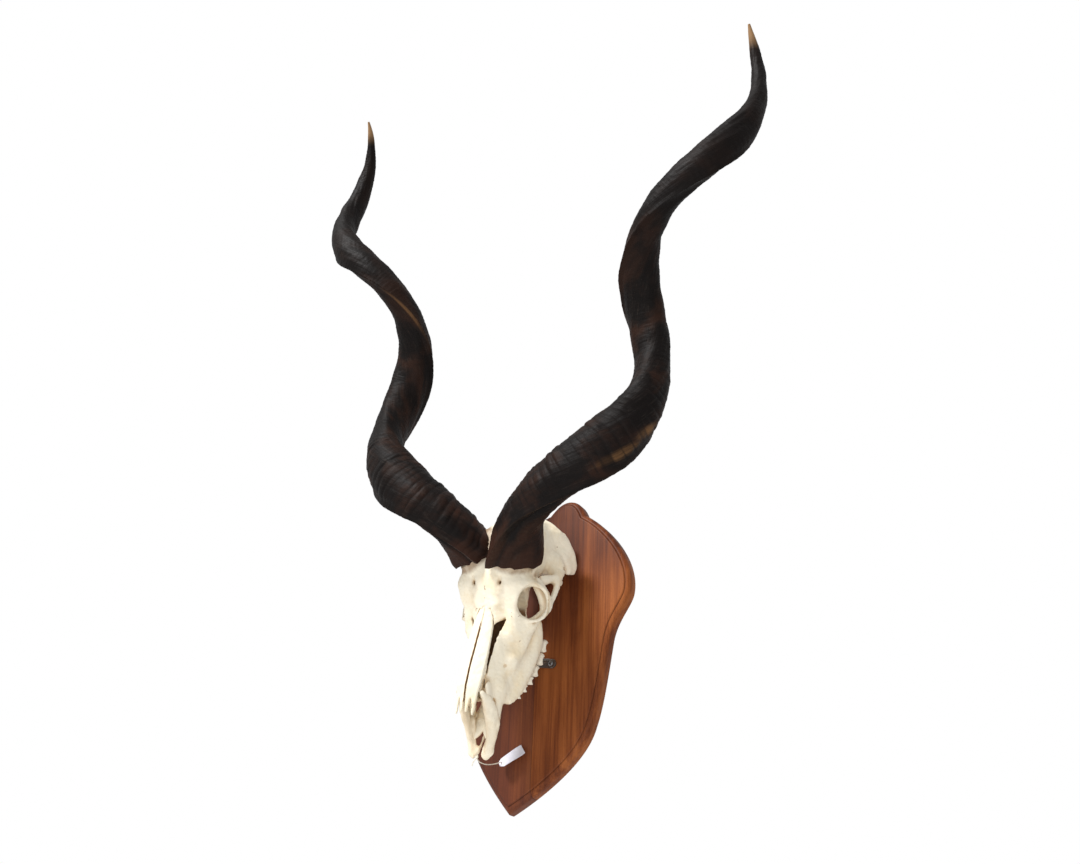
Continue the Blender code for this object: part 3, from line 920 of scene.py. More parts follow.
class Clay:
    """A distance field over half the skull (X from 0 up), mirrored when its skin is taken."""

    far = 60.0

    def __init__(self, low: Point, high: Point, grain: float, mirrored: bool = True) -> None:
        """Lays out the grid.

        Args:
            low: Lowest corner; X starts at 0 for a mirrored block.
            high: Highest corner.
            grain: Distance between grid points.
            mirrored: Whether X below 0 repeats X above 0.
        """
        self.grain, self.mirrored = grain, mirrored
        self.low = np.array((0.0 if mirrored else low[0], low[1], low[2]))
        counts = np.ceil((np.array(high) - self.low) / grain).astype(int) + 1
        self.axes = [self.low[k] + grain * np.arange(counts[k]) for k in range(3)]
        self.field = np.full(tuple(counts), self.far, np.float32)

    def _window(self, shape: Shape, margin: float) -> tuple[tuple[slice, ...], tuple[Array, Array, Array]]:
        """The part of the grid near a shape, as slices and as coordinates that broadcast.

        Args:
            shape: The shape.
            margin: How much is kept round the shape.

        Returns:
            The slices, and X, Y and Z there.
        """
        slices = []
        for k, axis in enumerate(self.axes):
            start = np.searchsorted(axis, shape.low[k] - margin)
            end = np.searchsorted(axis, shape.high[k] + margin)
            slices.append(slice(int(start), int(max(end, start + 1))))
        x, y, z = (axis[part] for axis, part in zip(self.axes, slices))
        return tuple(slices), (x[:, None, None], y[None, :, None], z[None, None, :])

    def add(self, shape: Shape, blend: float = 0.0) -> None:
        """Adds a shape, with a fillet of about the blend's size.

        Args:
            shape: The shape.
            blend: Width of the rounding, in millimetres.
        """
        window, place = self._window(shape, blend + 3 * self.grain)
        old = self.field[window]
        self.field[window] = soft_min(old, shape.distance(*place), blend)

    def carve(self, shape: Shape, blend: float = 0.0) -> None:
        """Removes a shape, with edges rounded by about the blend's size.

        Args:
            shape: The shape.
            blend: Width of the rounding, in millimetres.
        """
        window, place = self._window(shape, blend + 3 * self.grain)
        old = self.field[window]
        self.field[window] = -soft_min(-old, shape.distance(*place), blend)

    def sample(self, points: Array) -> Array:
        """The field's value at the grid points nearest to some places.

        Args:
            points: Places, one a row.

        Returns:
            One value a row.
        """
        near = np.abs(points[:, :1]) if self.mirrored else points[:, :1]
        spots = np.hstack([near, points[:, 1:]])
        index = np.rint((spots - self.low) / self.grain).astype(int)
        index = np.clip(index, 0, np.array(self.field.shape) - 1)
        return self.field[index[:, 0], index[:, 1], index[:, 2]]

    def skin(self, smoothing: int = 2) -> tuple[Array, Array]:
        """The surface as points and quads: one point for each cell that the surface crosses.

        Args:
            smoothing: Rounds of smoothing.

        Returns:
            The points and the quads.
        """
        values, low = self.field, self.low.copy()
        if self.mirrored:
            values = np.concatenate([values[:0:-1], values])
            low[0] = -self.axes[0][-1]
        points, quads = surface_net(values, low, self.grain)
        points, quads = largest_piece(points, quads)
        return relaxed(points, quads, smoothing), quads

    def hollowness(self, points: Array, quads: Array, reach: float) -> Array:
        """How shut in each point is, from 0 in the open to 1 in a crevice.

        Args:
            points: Places, one a row.
            quads: Point numbers of each face, four a row.
            reach: How far out from the surface it looks.

        Returns:
            One value a point.
        """
        normals = point_normals(points, quads)
        near = self.sample(points + normals * reach * 0.5) / (reach * 0.5)
        wide = self.sample(points + normals * reach) / reach
        return np.clip(1 - 0.5 * (np.clip(near, 0, 1) + np.clip(wide, 0, 1)), 0, 1)


def surface_net(values: Array, low: Array, grain: float) -> tuple[Array, Array]:
    """Points and outward quads where a grid of distances crosses 0.

    Args:
        values: Distances on the grid.
        low: The grid's lowest corner.
        grain: Distance between grid points.

    Returns:
        The points and the quads.
    """
    solid = values < 0
    corners = np.array([(i, j, k) for i in (0, 1) for j in (0, 1) for k in (0, 1)])
    count = np.zeros(tuple(n - 1 for n in values.shape), np.int8)
    for i, j, k in corners:
        count += solid[i:count.shape[0] + i, j:count.shape[1] + j, k:count.shape[2] + k]
    mixed = (count > 0) & (count < 8)
    cells = np.argwhere(mixed)
    at = [values[cells[:, 0] + i, cells[:, 1] + j, cells[:, 2] + k] for i, j, k in corners]
    total, crossings = np.zeros((len(cells), 3)), np.zeros(len(cells))
    for a in range(8):
        for b in range(a + 1, 8):
            if np.abs(corners[a] - corners[b]).sum() != 1:
                continue
            cross = (at[a] < 0) != (at[b] < 0)
            share = np.where(cross, at[a] / np.where(cross, at[a] - at[b], 1), 0)
            total += cross[:, None] * (corners[a] + share[:, None] * (corners[b] - corners[a]))
            crossings += cross
    points = low + grain * (cells + total / crossings[:, None])
    index = np.full(mixed.shape, -1)
    index[mixed] = np.arange(len(cells))
    quads = []
    for axis in range(3):
        lower = np.take(solid, range(values.shape[axis] - 1), axis)
        upper = np.take(solid, range(1, values.shape[axis]), axis)
        edges = np.argwhere(lower != upper)
        u, v = np.eye(3, dtype=int)[(axis + 1) % 3], np.eye(3, dtype=int)[(axis + 2) % 3]
        limit = np.array(mixed.shape)
        edges = edges[((edges - u - v) >= 0).all(axis=1) & (edges < limit).all(axis=1)]
        round_edge = [index[tuple((edges - shift).T)] for shift in (0 * u, u, u + v, v)]
        quad = np.stack(round_edge, axis=1)
        outward = lower[tuple(edges.T)]
        quads.append(np.where(outward[:, None], quad, quad[:, ::-1]))
    return points, np.vstack(quads)


def largest_piece(points: Array, quads: Array) -> tuple[Array, Array]:
    """Drops every piece but the one with the most points.

    Args:
        points: Places, one a row.
        quads: Point numbers of each face, four a row.

    Returns:
        The points and quads that are left.
    """
    label = np.arange(len(points))
    first, second = quads.ravel(), np.roll(quads, -1, axis=1).ravel()
    while True:
        lower = np.minimum(label[first], label[second])
        found = label.copy()
        np.minimum.at(found, first, lower)
        np.minimum.at(found, second, lower)
        found = found[found]
        if (found == label).all():
            break
        label = found
    keep = label == np.bincount(label).argmax()
    number = np.cumsum(keep) - 1
    return points[keep], number[quads[keep[quads[:, 0]]]]


def relaxed(points: Array, quads: Array, rounds: int) -> Array:
    """Points smoothed against their neighbours without shrinking the whole.

    Args:
        points: Places, one a row.
        quads: Point numbers of each face, four a row.
        rounds: Rounds of smoothing.

    Returns:
        The smoothed points.
    """
    first, second = quads.ravel(), np.roll(quads, -1, axis=1).ravel()
    size = len(points)
    degree = np.bincount(first, minlength=size) + np.bincount(second, minlength=size)
    for _ in range(rounds):
        for share in (0.5, -0.51):
            total = np.stack([
                np.bincount(first, points[second, k], size) + np.bincount(second, points[first, k], size)
                for k in range(3)
            ], axis=1)
            points = points + share * (total / degree[:, None] - points)
    return points


def point_normals(points: Array, quads: Array) -> Array:
    """Unit normals at the points.

    Args:
        points: Places, one a row.
        quads: Point numbers of each face, four a row.

    Returns:
        One unit vector a row.
    """
    face = np.cross(points[quads[:, 2]] - points[quads[:, 0]], points[quads[:, 3]] - points[quads[:, 1]])
    total = np.stack([
        sum(np.bincount(quads[:, c], face[:, k], len(points)) for c in range(4)) for k in range(3)
    ], axis=1)
    return total / (np.linalg.norm(total, axis=1)[:, None] + 1e-9)


# Horns


def around(angle: Array, middle: float) -> Array:
    """Degrees from a middle to each angle, the short way round."""
    return (angle - middle + 180) % 360 - 180


@dataclass(frozen=True)
class HornForm:
    """The spiral that both horns follow, for the right one, with s from 0 at the skull to 1 at its end.

    Each horn runs its own share of the spiral, which is kept in ends.
    """

    length: float = 1174
    origin: Point = (30.8, -187, 89.8)
    axis_out: float = 22.0
    axis_forward: float = 14.3
    cone: tuple[float, ...] = (37.1, -21.8, 16.4)
    turn: tuple[float, ...] = (-83.9, 468.3, 548.2, -332.4)
    start: float = 0.03
    radii: tuple[tuple[float, float], ...] = (
        (0, 39), (0.08, 39.5), (0.17, 40.5), (0.24, 39.5), (0.31, 34.5), (0.42, 32), (0.56, 27.5),
        (0.72, 26), (0.8, 22.5), (0.87, 16.5), (0.93, 11), (0.975, 6), (1, 2),
    )
    keel_at: float = 237
    rim_normal: Point = (0.50, -0.85, 0.17)
    ends: dict[Side, float] = field(default_factory=lambda: {Side.RIGHT: 0.965, Side.LEFT: 1.0})

    def radius(self, s: Array) -> Array:
        """Mean radius at each s."""
        table = smooth_through(self.radii, 6)
        return np.interp(s, table[:, 0], table[:, 1])

    def rim(self) -> Array:
        """Unit normal of the rim's plane."""
        return np.array(self.rim_normal) / np.linalg.norm(self.rim_normal)

    def spiral(self, s: Array) -> tuple[Array, Array, Array, Array]:
        """Places and unit directions at each s.

        Args:
            s: Shares of the length.

        Returns:
            Place, direction along, direction towards the spiral's axis, and direction across both.
        """
        out, forward = radians(self.axis_out), radians(self.axis_forward)
        axis = np.array((sin(out) * cos(forward), -sin(forward), cos(out) * cos(forward)))
        first = np.cross((0, 1, 0), axis)
        first /= np.linalg.norm(first)
        second = np.cross(axis, first)
        fine = np.linspace(0, 1, 1001)
        cone = np.radians(np.polyval(self.cone[::-1], fine))[:, None]
        turn = np.radians(np.polyval(self.turn[::-1], fine))[:, None]
        along = np.cos(cone) * axis + np.sin(cone) * (np.cos(turn) * first + np.sin(turn) * second)
        steps = (along[1:] + along[:-1]) / 2 * self.length / (len(fine) - 1)
        path = np.array(self.origin) + np.vstack([np.zeros(3), np.cumsum(steps, axis=0)])
        towards = np.cos(turn) * second - np.sin(turn) * first
        towards -= (towards * along).sum(axis=1)[:, None] * along
        towards /= np.linalg.norm(towards, axis=1)[:, None]

        def at(rows: Array) -> Array:
            """Rows read at each s."""
            return np.stack([np.interp(s, fine, rows[:, k]) for k in range(3)], axis=1)

        path, along, towards = at(path), at(along), at(towards)
        return path, along, towards, np.cross(along, towards)


@dataclass
class Horns:
    """The two horn sheaths: a keeled spiral with growth rings on its lower half."""

    form: HornForm = field(default_factory=HornForm)
    rings: int = 760
    sides: int = 72
    ring_height: float = 2.7
    ring_spacing: tuple[float, float] = (8.5, 17.5)
    ring_fade: dict[Side, tuple[float, float]] = field(default_factory=lambda: {
        Side.RIGHT: (0.22, 0.46), Side.LEFT: (0.16, 0.36),
    })
    ring_middle: float = 0.45
    keel_height: float = 0.15
    keel_width: float = 6
    groove_depth: float = 0.08
    groove_at: float = 15
    slant_length: float = 0.07
    lip: float = 3.0
    rim_corners: dict[Side, tuple[tuple[float, float, float], ...]] = field(default_factory=lambda: {
        Side.RIGHT: ((20, 138, 34), (13, 2, 24), (5, 45, 18)),
        Side.LEFT: ((22, -84, 40), (15, -28, 30), (-8, 72, 30)),
    })
    base_swell: dict[Side, tuple[tuple[float, float, float], ...]] = field(default_factory=lambda: {
        Side.RIGHT: ((0.26, 138, 34), (0.16, 85, 40), (0.06, 0, 24)),
        Side.LEFT: ((0.32, 84, 40), (0.10, 140, 30)),
    })
    wear_spots: dict[Side, tuple[tuple[float, float, float, float], ...]] = field(default_factory=lambda: {
        Side.RIGHT: ((0.248, -33, 0.036, 15), (0.288, -44, 0.022, 20)),
        Side.LEFT: ((0.53, 4, 0.05, 6),),
    })

    def ring_relief(self, s: Array, off: Array, side: Side) -> Array:
        """Height of the growth rings, from 0 in a crease to 1, at each s and degrees off the keel.

        Args:
            s: Shares of the spiral.
            off: Degrees off the keel.
            side: Which side.

        Returns:
            One height a point.
        """
        rng = np.random.default_rng(11 if side is Side.LEFT else 12)
        edges = np.cumsum(np.concatenate([[18.0], rng.uniform(*self.ring_spacing, 60)]))
        wobble = 2.2 * np.sin(np.radians(off) + 0.6) + 1.3 * np.sin(np.radians(3 * off) + s * 40)
        reach = s * self.form.length + wobble
        number = np.clip(np.searchsorted(edges, reach) - 1, 0, len(edges) - 2)
        share = np.clip((reach - edges[number]) / (edges[number + 1] - edges[number]), 0, 1)
        bulge = rng.uniform(0.25, 1.25, len(edges))[number]
        patchy = 0.65 + 0.35 * np.sin(np.radians(2 * off) + reach * 0.11 + side.value)
        return bulge * patchy * (1 - np.abs(2 * share**0.8 - 1) ** 2.4)

    def section(self, s: Array, off: Array, side: Side) -> Array:
        """Each point's share of the mean radius: keel, hollowed lower face, back edge and swollen base.

        Args:
            s: Shares of the spiral.
            off: Degrees off the keel.
            side: Which side.

        Returns:
            One share a point.
        """
        tip_fade = ease(0.97, 0.72, s)
        shoulder = 0.05 * bell(off + 8, 26)
        keel = self.keel_height * bell(off + 1, self.keel_width)
        under = ease(2, 12, off) * ease(174, 132, off)
        found = 1 + 0.08 * np.cos(np.radians(2 * off)) * ease(1.0, 0.8, s)
        found += (shoulder + keel) * tip_fade
        found -= under * (0.055 + 0.10 * ease(0.42, 0.2, s)) * tip_fade
        found -= self.groove_depth * bell(off - self.groove_at, 7) * ease(0.45, 0.25, s)
        found += 0.035 * bell(np.abs(off) - 180, 16) * tip_fade
        for height, turn, width in self.base_swell[side]:
            found += height * bell(around(off, turn), width) * ease(0.085, 0.03, s)
        return found

    def ring_share(self, s: Array, off: Array, side: Side) -> Array:
        """How strongly the rings show: most on the upper face of the lower half.

        Args:
            s: Shares of the spiral.
            off: Degrees off the keel.
            side: Which side.

        Returns:
            One share a point.
        """
        face = 0.22 + 0.78 * ease(-4, -24, off) * ease(-178, -160, off)
        face = face + 0.35 * ease(95, 150, off) * ease(179, 165, off)
        fade = ease(*self.ring_fade[side][::-1], s) * 0.9 + 0.1 * ease(0.9, 0.7, s)
        return face * fade

    def unevenness(self, straight: Array, side: Side) -> tuple[Array, Array]:
        """Broad lumps, and those lumps with the fine flutes and chips, in millimetres.

        Args:
            straight: Places on the horn unwound straight.
            side: Which side.

        Returns:
            The lumps, and the whole unevenness.
        """
        flat = straight.reshape(-1, 3)
        seed = 40 if side is Side.LEFT else 50
        lumps = ripple(flat * (0.5, 1, 1), 34, seed).reshape(straight.shape[:2])
        flutes = ripple(flat * (0.05, 1, 1), 7.5, seed + 1).reshape(straight.shape[:2])
        chips = ripple(flat * (1, 0.8, 0.8), 6.0, seed + 2).reshape(straight.shape[:2])
        return lumps, 0.55 * lumps + 0.22 * flutes + 0.16 * chips

    def surface(self, side: Side) -> tuple[Array, dict[str, Array]]:
        """Points of every ring, and the attributes that the finish reads.

        Args:
            side: Which side.

        Returns:
            The points, and the values of each attribute.
        """
        form = self.form
        end = form.ends[side]
        s = form.start + (end - form.start) * np.linspace(0, 1, self.rings)
        path, along, towards, across = form.spiral(s)
        angle = np.arange(self.sides) * 2 * pi / self.sides + radians(form.keel_at)
        off = (np.degrees(angle) - form.keel_at + 180) % 360 - 180
        radius = form.radius(s / end)[:, None]
        s_grid, off_grid = np.broadcast_arrays(s[:, None], off[None, :])
        straight = np.stack([
            s_grid * form.length, radius * np.cos(angle)[None, :], radius * np.sin(angle)[None, :]
        ], axis=2)
        lumps, uneven = self.unevenness(straight, side)
        ringed = self.ring_relief(s_grid, off_grid, side)
        ring_share = self.ring_share(s_grid, off_grid, side)
        reach = radius * self.section(s_grid, off_grid, side)
        reach += self.ring_height * (ringed - self.ring_middle) * ring_share
        reach += ease(end, end - 0.07, s_grid) * uneven
        lobes = 1 + 0.6 * np.sin(np.radians(5 * off_grid) + 1) + 0.3 * np.sin(np.radians(11 * off_grid))
        reach += 1.4 * lobes * bell(s_grid - form.start - 0.006, 0.009)
        ways = np.cos(angle)[None, :, None] * towards[:, None, :]
        ways = ways + np.sin(angle)[None, :, None] * across[:, None, :]
        points = path[:, None, :] + reach[:, :, None] * ways
        points = self.onto_rim(points, along, s, self.rim_drop(off, side))
        points, inner = self.with_lip(points, form.rim())
        values = self.attributes(s_grid, off_grid, ringed, ring_share, lumps, side)
        values["horn_coord"] = straight * MM
        grown = {
            key: np.concatenate([np.repeat(value[:1], inner, axis=0), value]) for key, value in values.items()
        }
        return points, {key: value.reshape(-1, *value.shape[2:]) for key, value in grown.items()}

    def onto_rim(self, points: Array, along: Array, s: Array, lower: Array) -> Array:
        """Slides the first rings along the horn, so that the first lies in the rim's plane.

        Args:
            points: Rings of points.
            along: Direction along the horn at each ring.
            s: Share of the spiral at each ring.
            lower: How far the rim reaches below its plane.

        Returns:
            The rings, with the first ones moved.
        """
        normal = self.form.rim()
        slant = np.clip(1 - (s - self.form.start) / self.slant_length, 0, 1)
        for i in np.flatnonzero(slant):
            middle = points[i].mean(axis=0)
            drop = ((middle - points[i]) @ normal) / (along[i] @ normal) - lower
            points[i] += slant[i] * (drop[:, None] * along[i])
        return points

    def rim_drop(self, off: Array, side: Side) -> Array:
        """How far the rim's corners and small lobes reach below its plane, at each angle off the keel.

        Args:
            off: Degrees off the keel.
            side: Which side.

        Returns:
            One drop for each angle, in millimetres.
        """
        drop = 1.3 * np.sin(np.radians(7 * off) + side.value) + 0.9 * np.sin(np.radians(13 * off) + 2)
        for height, angle, width in self.rim_corners[side]:
            drop = drop + height * bell(around(off, angle), width)
        return drop

    def with_lip(self, points: Array, normal: Array) -> tuple[Array, int]:
        """Adds the rolled lip and closed underside before the first ring, and counts the rings added.

        Args:
            points: Rings of points.
            normal: The rim's normal.

        Returns:
            All the rings, and how many were added.
        """
        first, middle = points[0], points[0].mean(axis=0)
        inward = first - middle
        size = np.linalg.norm(inward, axis=1)[:, None]
        rows = []
        for share in (0.08, 0.35, 0.7, 0.86):
            rows.append(middle + inward * share)
        for turn in (70, 35):
            shrink = (size - self.lip * (1 - cos(radians(turn)))) / size
            rows.append(middle + inward * shrink - normal * self.lip * sin(radians(turn)) * 0.35)
        return np.concatenate([np.array(rows), points]), len(rows)

    def attributes(
        self, s: Array, off: Array, ringed: Array, ring_share: Array, lumps: Array, side: Side
    ) -> dict[str, Array]:
        """Wear, base, tip and crease at each point; crease is painted shade in the ring valleys and the
        groove under the keel.

        Args:
            s: Shares of the spiral.
            off: Degrees off the keel.
            ringed: Height of the growth rings.
            ring_share: How strongly the rings show.
            lumps: The broad lumps.
            side: Which side.

        Returns:
            Each attribute's values by its name.
        """
        wear = 0.0 * s
        for place, turn, length, width in self.wear_spots[side]:
            wear = np.maximum(wear, bell(s - place, length) * bell(around(off, turn), width))
        wear = np.maximum(wear, 0.5 * bell(off, 4) * ease(0.04, 0.08, s) * ease(0.7, 0.4, s))
        base = ease(0.115, 0.035, s + 0.012 * lumps)
        # Painted shade: darkest in the valleys between growth rings and along the groove under the keel.
        crease = ring_share * (1 - ease(0.0, 0.3, ringed)) * ease(0.5, 0.3, s)
        crease = np.maximum(crease, bell(off - self.groove_at, 5) * ease(0.5, 0.3, s))
        return {"wear": wear, "base": base, "tip": ease(s.max() - 0.06, s.max() - 0.005, s), "crease": crease}

    def build(self, finish: HornFinish) -> None:
        """Builds and dresses both horns.

        Args:
            finish: The finish to dress it in.
        """
        material = finish.material()
        for side in Side:
            points, values = self.surface(side)
            count = len(points)
            flat = points.reshape(-1, 3) * (side.value, 1, 1)
            faces = tube_faces(count, self.sides)
            if side is Side.LEFT:
                faces = [face[::-1] for face in faces]
            node = f"horn_{side.label}"
            faces = facing_out(flat, faces)
            make_piece(f"{node}_sheath", flat, faces, material, node, values, sharp=75)


# Skull


@dataclass
class Skull:
    """The braincase, eye sockets, cheekbones and upper jaws in one bone."""

    grain: float = 1.86
    wall: float = 3.4
    stations: tuple[tuple[float, ...], ...] = (
        (200, -124, -110, 12, 10), (192, -150, -84, 34, 28), (172, -186, -62, 48, 36),
        (147, -214, -62, 50, 44), (120, -223, -76, 42, 54), (92, -224, -102, 36, 60),
        (62, -219, -116, 33, 60), (30, -207, -108, 34, 49), (0, -200, -94, 44, 38), (-50, -200, -92, 49, 30),
        (-90, -199, -98, 42, 26),
        (-122, -192, -116, 31, 23),
    )
    orbit: Point = (69, -172, 29)
    orbit_normal: Point = (0.86, -0.49, -0.10)
    orbit_radius: float = 30
    orbit_bore: float = 27.6
    foramen: Point = (25.6, -208, 47)
    sutures: tuple[tuple[Point, ...], ...] = (
        ((0, -205, 16), (9, -203, 6), (17, -201, 8), (25, -199, 0), (31, -196, -2)),
        ((36, -195, -3), (44, -191, 4), (50, -184, 2), (55, -176, 6)),
        ((58, -158, -6), (50, -160, -22), (44, -150, -32), (42, -130, -30)),
        ((0, -222, 92), (0, -217, 66), (0, -210, 40), (0, -205, 16)),
        ((40, -142, 158), (45, -118, 148), (46, -100, 152), (46, -84, 160)),
        ((47, -92, 146), (49, -80, 134), (50, -66, 128)),
    )

    def face_shapes(self, clay: Clay) -> None:
        """Forehead, brows, cheeks and jaws.

        Args:
            clay: The clay to work on.
        """
        nose_hole = ((0, -190, -95, 13), (0, -205, -135, 21), (0, -215, -175, 26))
        brow = ((0, -198, 60, 22), (34, -192, 55, 25), (56, -183, 45, 23), (66, -176, 38, 18))
        tooth_row = (
            (32, -126, -117, 8), (34, -114, -96, 12), (38, -103, -52, 14.5), (40, -100, -10, 15.5),
            (41, -108, 12, 12),
        )
        jaw_end = ((28, -150, -104, 13), (26, -146, -126, 10), (24, -139, -148, 7))
        nose_wall = ((26, -180, -112, 9), (25.5, -168, -132, 8), (25, -157, -148, 6))
        palate = (
            (7, -124, -112, 12), (9, -127, -135, 13), (10, -131, -155, 14), (12, -134, -170, 12),
            (15, -136, -180, 7),
        )
        cheek = ((48, -190, 54, 19), (46, -180, 30, 16), (42, -171, 6, 15), (34, -165, -20, 12))
        under_eye = ((44, -160, -16, 12), (57, -153, 0, 10))
        jaw_side = ((38, -150, -60, 9), (43, -140, -30, 10), (50, -140, -8, 8))
        clay.add(Core(self.stations))
        clay.carve(Core(self.stations, erode=self.wall, z_range=(-190, 22)), 1.5)
        clay.carve(Bar(nose_hole, 3), 3)
        clay.add(Bar(brow, 3, (0, 1, 0), 0.6), 14)
        clay.add(Bar(tooth_row, 3, (1, 0, 0), 0.75), 8)
        clay.add(Bar(jaw_end, 3, (1, 0, 0), 0.6), 7)
        clay.add(Bar(nose_wall, 3, (1, 0, 0), 0.3), 2)
        clay.add(Bar(palate, 3, (0, 1, 0), 0.22), 3)
        clay.add(Bar(cheek, 3), 12)
        clay.add(Bar(under_eye, 2), 12)
        clay.add(Bar(jaw_side, 3), 14)

    def socket_shapes(self, clay: Clay) -> None:
        """Eye sockets with their raised rims, cheekbone arches and the bars behind the eyes.

        Args:
            clay: The clay to work on.
        """
        centre = np.array(self.orbit, float)
        normal = np.array(self.orbit_normal) / np.linalg.norm(self.orbit_normal)
        widths = ((-52, 15), (-24, 22), (0, self.orbit_bore), (30, 31))
        deep = [(*(centre + normal * reach), size) for reach, size in widths]
        clay.carve(Bar(deep, 3), 5)
        clay.add(Bar(self.orbit_rim(centre, normal), 1, tuple(normal), 0.8), 5)
        arch = (
            (46, -150, -12, 12), (61, -148, 2, 8), (68, -136, 24, 7), (69, -121, 48, 6.5), (67, -109, 74, 6),
            (58, -99, 98, 8), (38, -96, 118, 13),
        )
        tear_bone = ((45, -180, 6, 6), (43, -173, -6, 8), (36, -168, -28, 8))
        eye_bar = ((60, -156, 67, 11), (66, -144, 54, 12), (68, -130, 38, 12))
        temple_bar = ((55, -138, 78, 9), (58, -120, 88, 7), (58, -106, 94, 7))
        clay.add(Bar(arch, 3, (1, 0, 0), 0.7), 7)
        clay.add(Bar(tear_bone, 3), 7)
        clay.add(Bar(eye_bar, 3, (1, 0, 0), 0.7), 6)
        clay.add(Bar(temple_bar, 3, (1, 0, 0), 0.6), 7)

    def orbit_rim(self, centre: Array, normal: Array) -> list[tuple[float, ...]]:
        """The rim's route: thicker behind the eye, and sunk into the cheek at its lower front.

        Args:
            centre: The socket's centre.
            normal: Direction out of the socket.

        Returns:
            Rows of (x, y, z, radius).
        """
        turn = Vector(normal).to_track_quat("Z", "Y").to_matrix()
        rim = []
        for a in np.linspace(0, 2 * pi, 25):
            out = np.array(turn @ Vector((cos(a), sin(a), 0)))
            behind = max(0.0, float(out @ (-0.2, 0.8, 0.55)))
            sunk = ease(0.1, -0.8, out[2]) * ease(0.5, -0.3, out[1])
            place = centre + out * (self.orbit_radius - 0.5 + 1.5 * behind) + sunk * np.array((-7, 10, 3))
            rim.append((*place, 2.8 + 1.6 * behind))
        return rim

    def rear_shapes(self, clay: Clay) -> None:
        """Nape crest, condyles, ear bulbs, temporal hollows and the plates behind the palate.

        Args:
            clay: The clay to work on.
        """
        crest = (
            (0, -118, 190, 14), (36, -112, 177, 13), (46, -84, 166, 12), (51, -62, 150, 10),
            (53, -50, 138, 7), (52, -46, 129, 5),
        )
        mastoid = ((36, -88, 154, 17), (43, -70, 144, 13), (49, -55, 134, 9), (50, -48, 130, 5))
        condyle = ((12, -70, 178, 13), (20, -60, 188, 10), (22, -54, 193, 6))
        ear_bulb = ((26, -94, 124, 16), (30, -70, 116, 10), (34, -52, 106, 5))
        ear_root = ((42, -98, 130, 15), (49, -84, 116, 11), (53, -92, 104, 9))
        ear_ridge = ((46, -84, 150, 12), (50, -70, 136, 10), (50, -60, 126, 7))
        ear_hole = ((62, -84, 122, 3.5), (48, -80, 120, 3))
        throat_plate = ((13, -110, 62, 3.5), (15, -96, 40, 3), (17, -92, 16, 3))
        throat = ((0, -98, 58, 9), (0, -96, 30, 11), (0, -104, 8, 9))
        clay.add(Bar(crest, 3), 9)
        clay.add(Bar(mastoid, 3, (1, 0, 0.2), 0.8), 6)
        clay.add(Bar(condyle, 3), 4)
        clay.add(Bar(ear_bulb, 3), 6)
        clay.add(Bar(ear_root, 3), 8)
        clay.add(Bar(ear_ridge, 3, (1, 0, 0.2), 0.8), 8)
        clay.carve(Blob((70, -134, 132), (14, 27, 26)), 10)
        clay.carve(Bar(ear_hole, 1), 2)
        clay.carve(Blob((0, -72, 190), (13, 14, 16)), 3)
        clay.add(Bar(throat_plate, 3, (1, 0, 0), 0.5), 4)
        clay.carve(Bar(throat, 3), 3)
        for side in (-1, 1):
            passage = (
                (-12 * side, -182, -8, 9), (4 * side, -164, 4, 12), (26 * side, -134, 20, 12),
                (46 * side, -106, 36, 10),
            )
            clay.carve(Bar(passage, 2), 3)

    def openings(self, clay: Clay) -> None:
        """Fissures beside the nasals, brow foramina with their grooves, and the jaw foramen.

        Args:
            clay: The clay to work on.
        """
        wedge = (
            (28.5, -26), (31, -14), (44, -1), (46, -4), (39.4, -24), (34.6, -48), (32.9, -80), (30.9, -128),
            (29, -128), (31, -80), (30.8, -50), (29, -36),
        )
        clay.carve(Slab(wedge, -232, -172, -0.25), 1.0)
        x, y, z = self.foramen
        clay.carve(Bar(((x, y - 12, z, 2.6), (x - 1, y + 12, z + 5, 2.2)), 1), 1.2)
        clay.carve(Bar(((x + 1.2, y - 8, z + 9, 2.2), (x, y - 4.5, z, 3.2), (x - 2, y - 5.5, z - 12, 2.6),
                        (x - 6, y - 4, z - 32, 1.2)), 3), 4)
        clay.carve(Bar(((45, -165, -78, 3.2), (34, -160, -72, 2.4)), 1), 2)

    def horn_seats(self, clay: Clay, form: HornForm) -> None:
        """Bosses that carry the horns, cut off flat at the horns' rims.

        Args:
            clay: The clay to work on.
            form: The horns' spiral.
        """
        path, along, _, _ = form.spiral(np.array((form.start,)))
        low, high = path[0] - 38 * along[0], path[0] + 14 * along[0]
        clay.add(Bar(((*low, 37), (*path[0], 35), (*high, 34)), 1), 10)
        clay.carve(Above(path[0] + 0.2 * form.rim(), form.rim(), 62, 46), 0.5)

    def bed(self, clay: Clay, nasals: "Nasals", teeth: "Teeth") -> None:
        """Room for the nasals and the teeth.

        Args:
            clay: The clay to work on.
            nasals: The nasal bones.
            teeth: The teeth.
        """
        clay.carve(nasals.plate(grow=0.3))
        clay.add(Bar(((0, -202, 40, 8), (0, -200.5, 22, 5)), 3, (0, 1, 0), 0.5), 6)
        clay.add(Bar(((12, -203, 36, 8), (15, -200, 18, 5)), 3, (0, 1, 0), 0.5), 6)
        for low, high in teeth.sockets():
            outline = ((low[0], low[2]), (high[0], low[2]), (high[0], high[2]), (low[0], high[2]))
            clay.carve(Slab(outline, low[1], high[1] + 20))

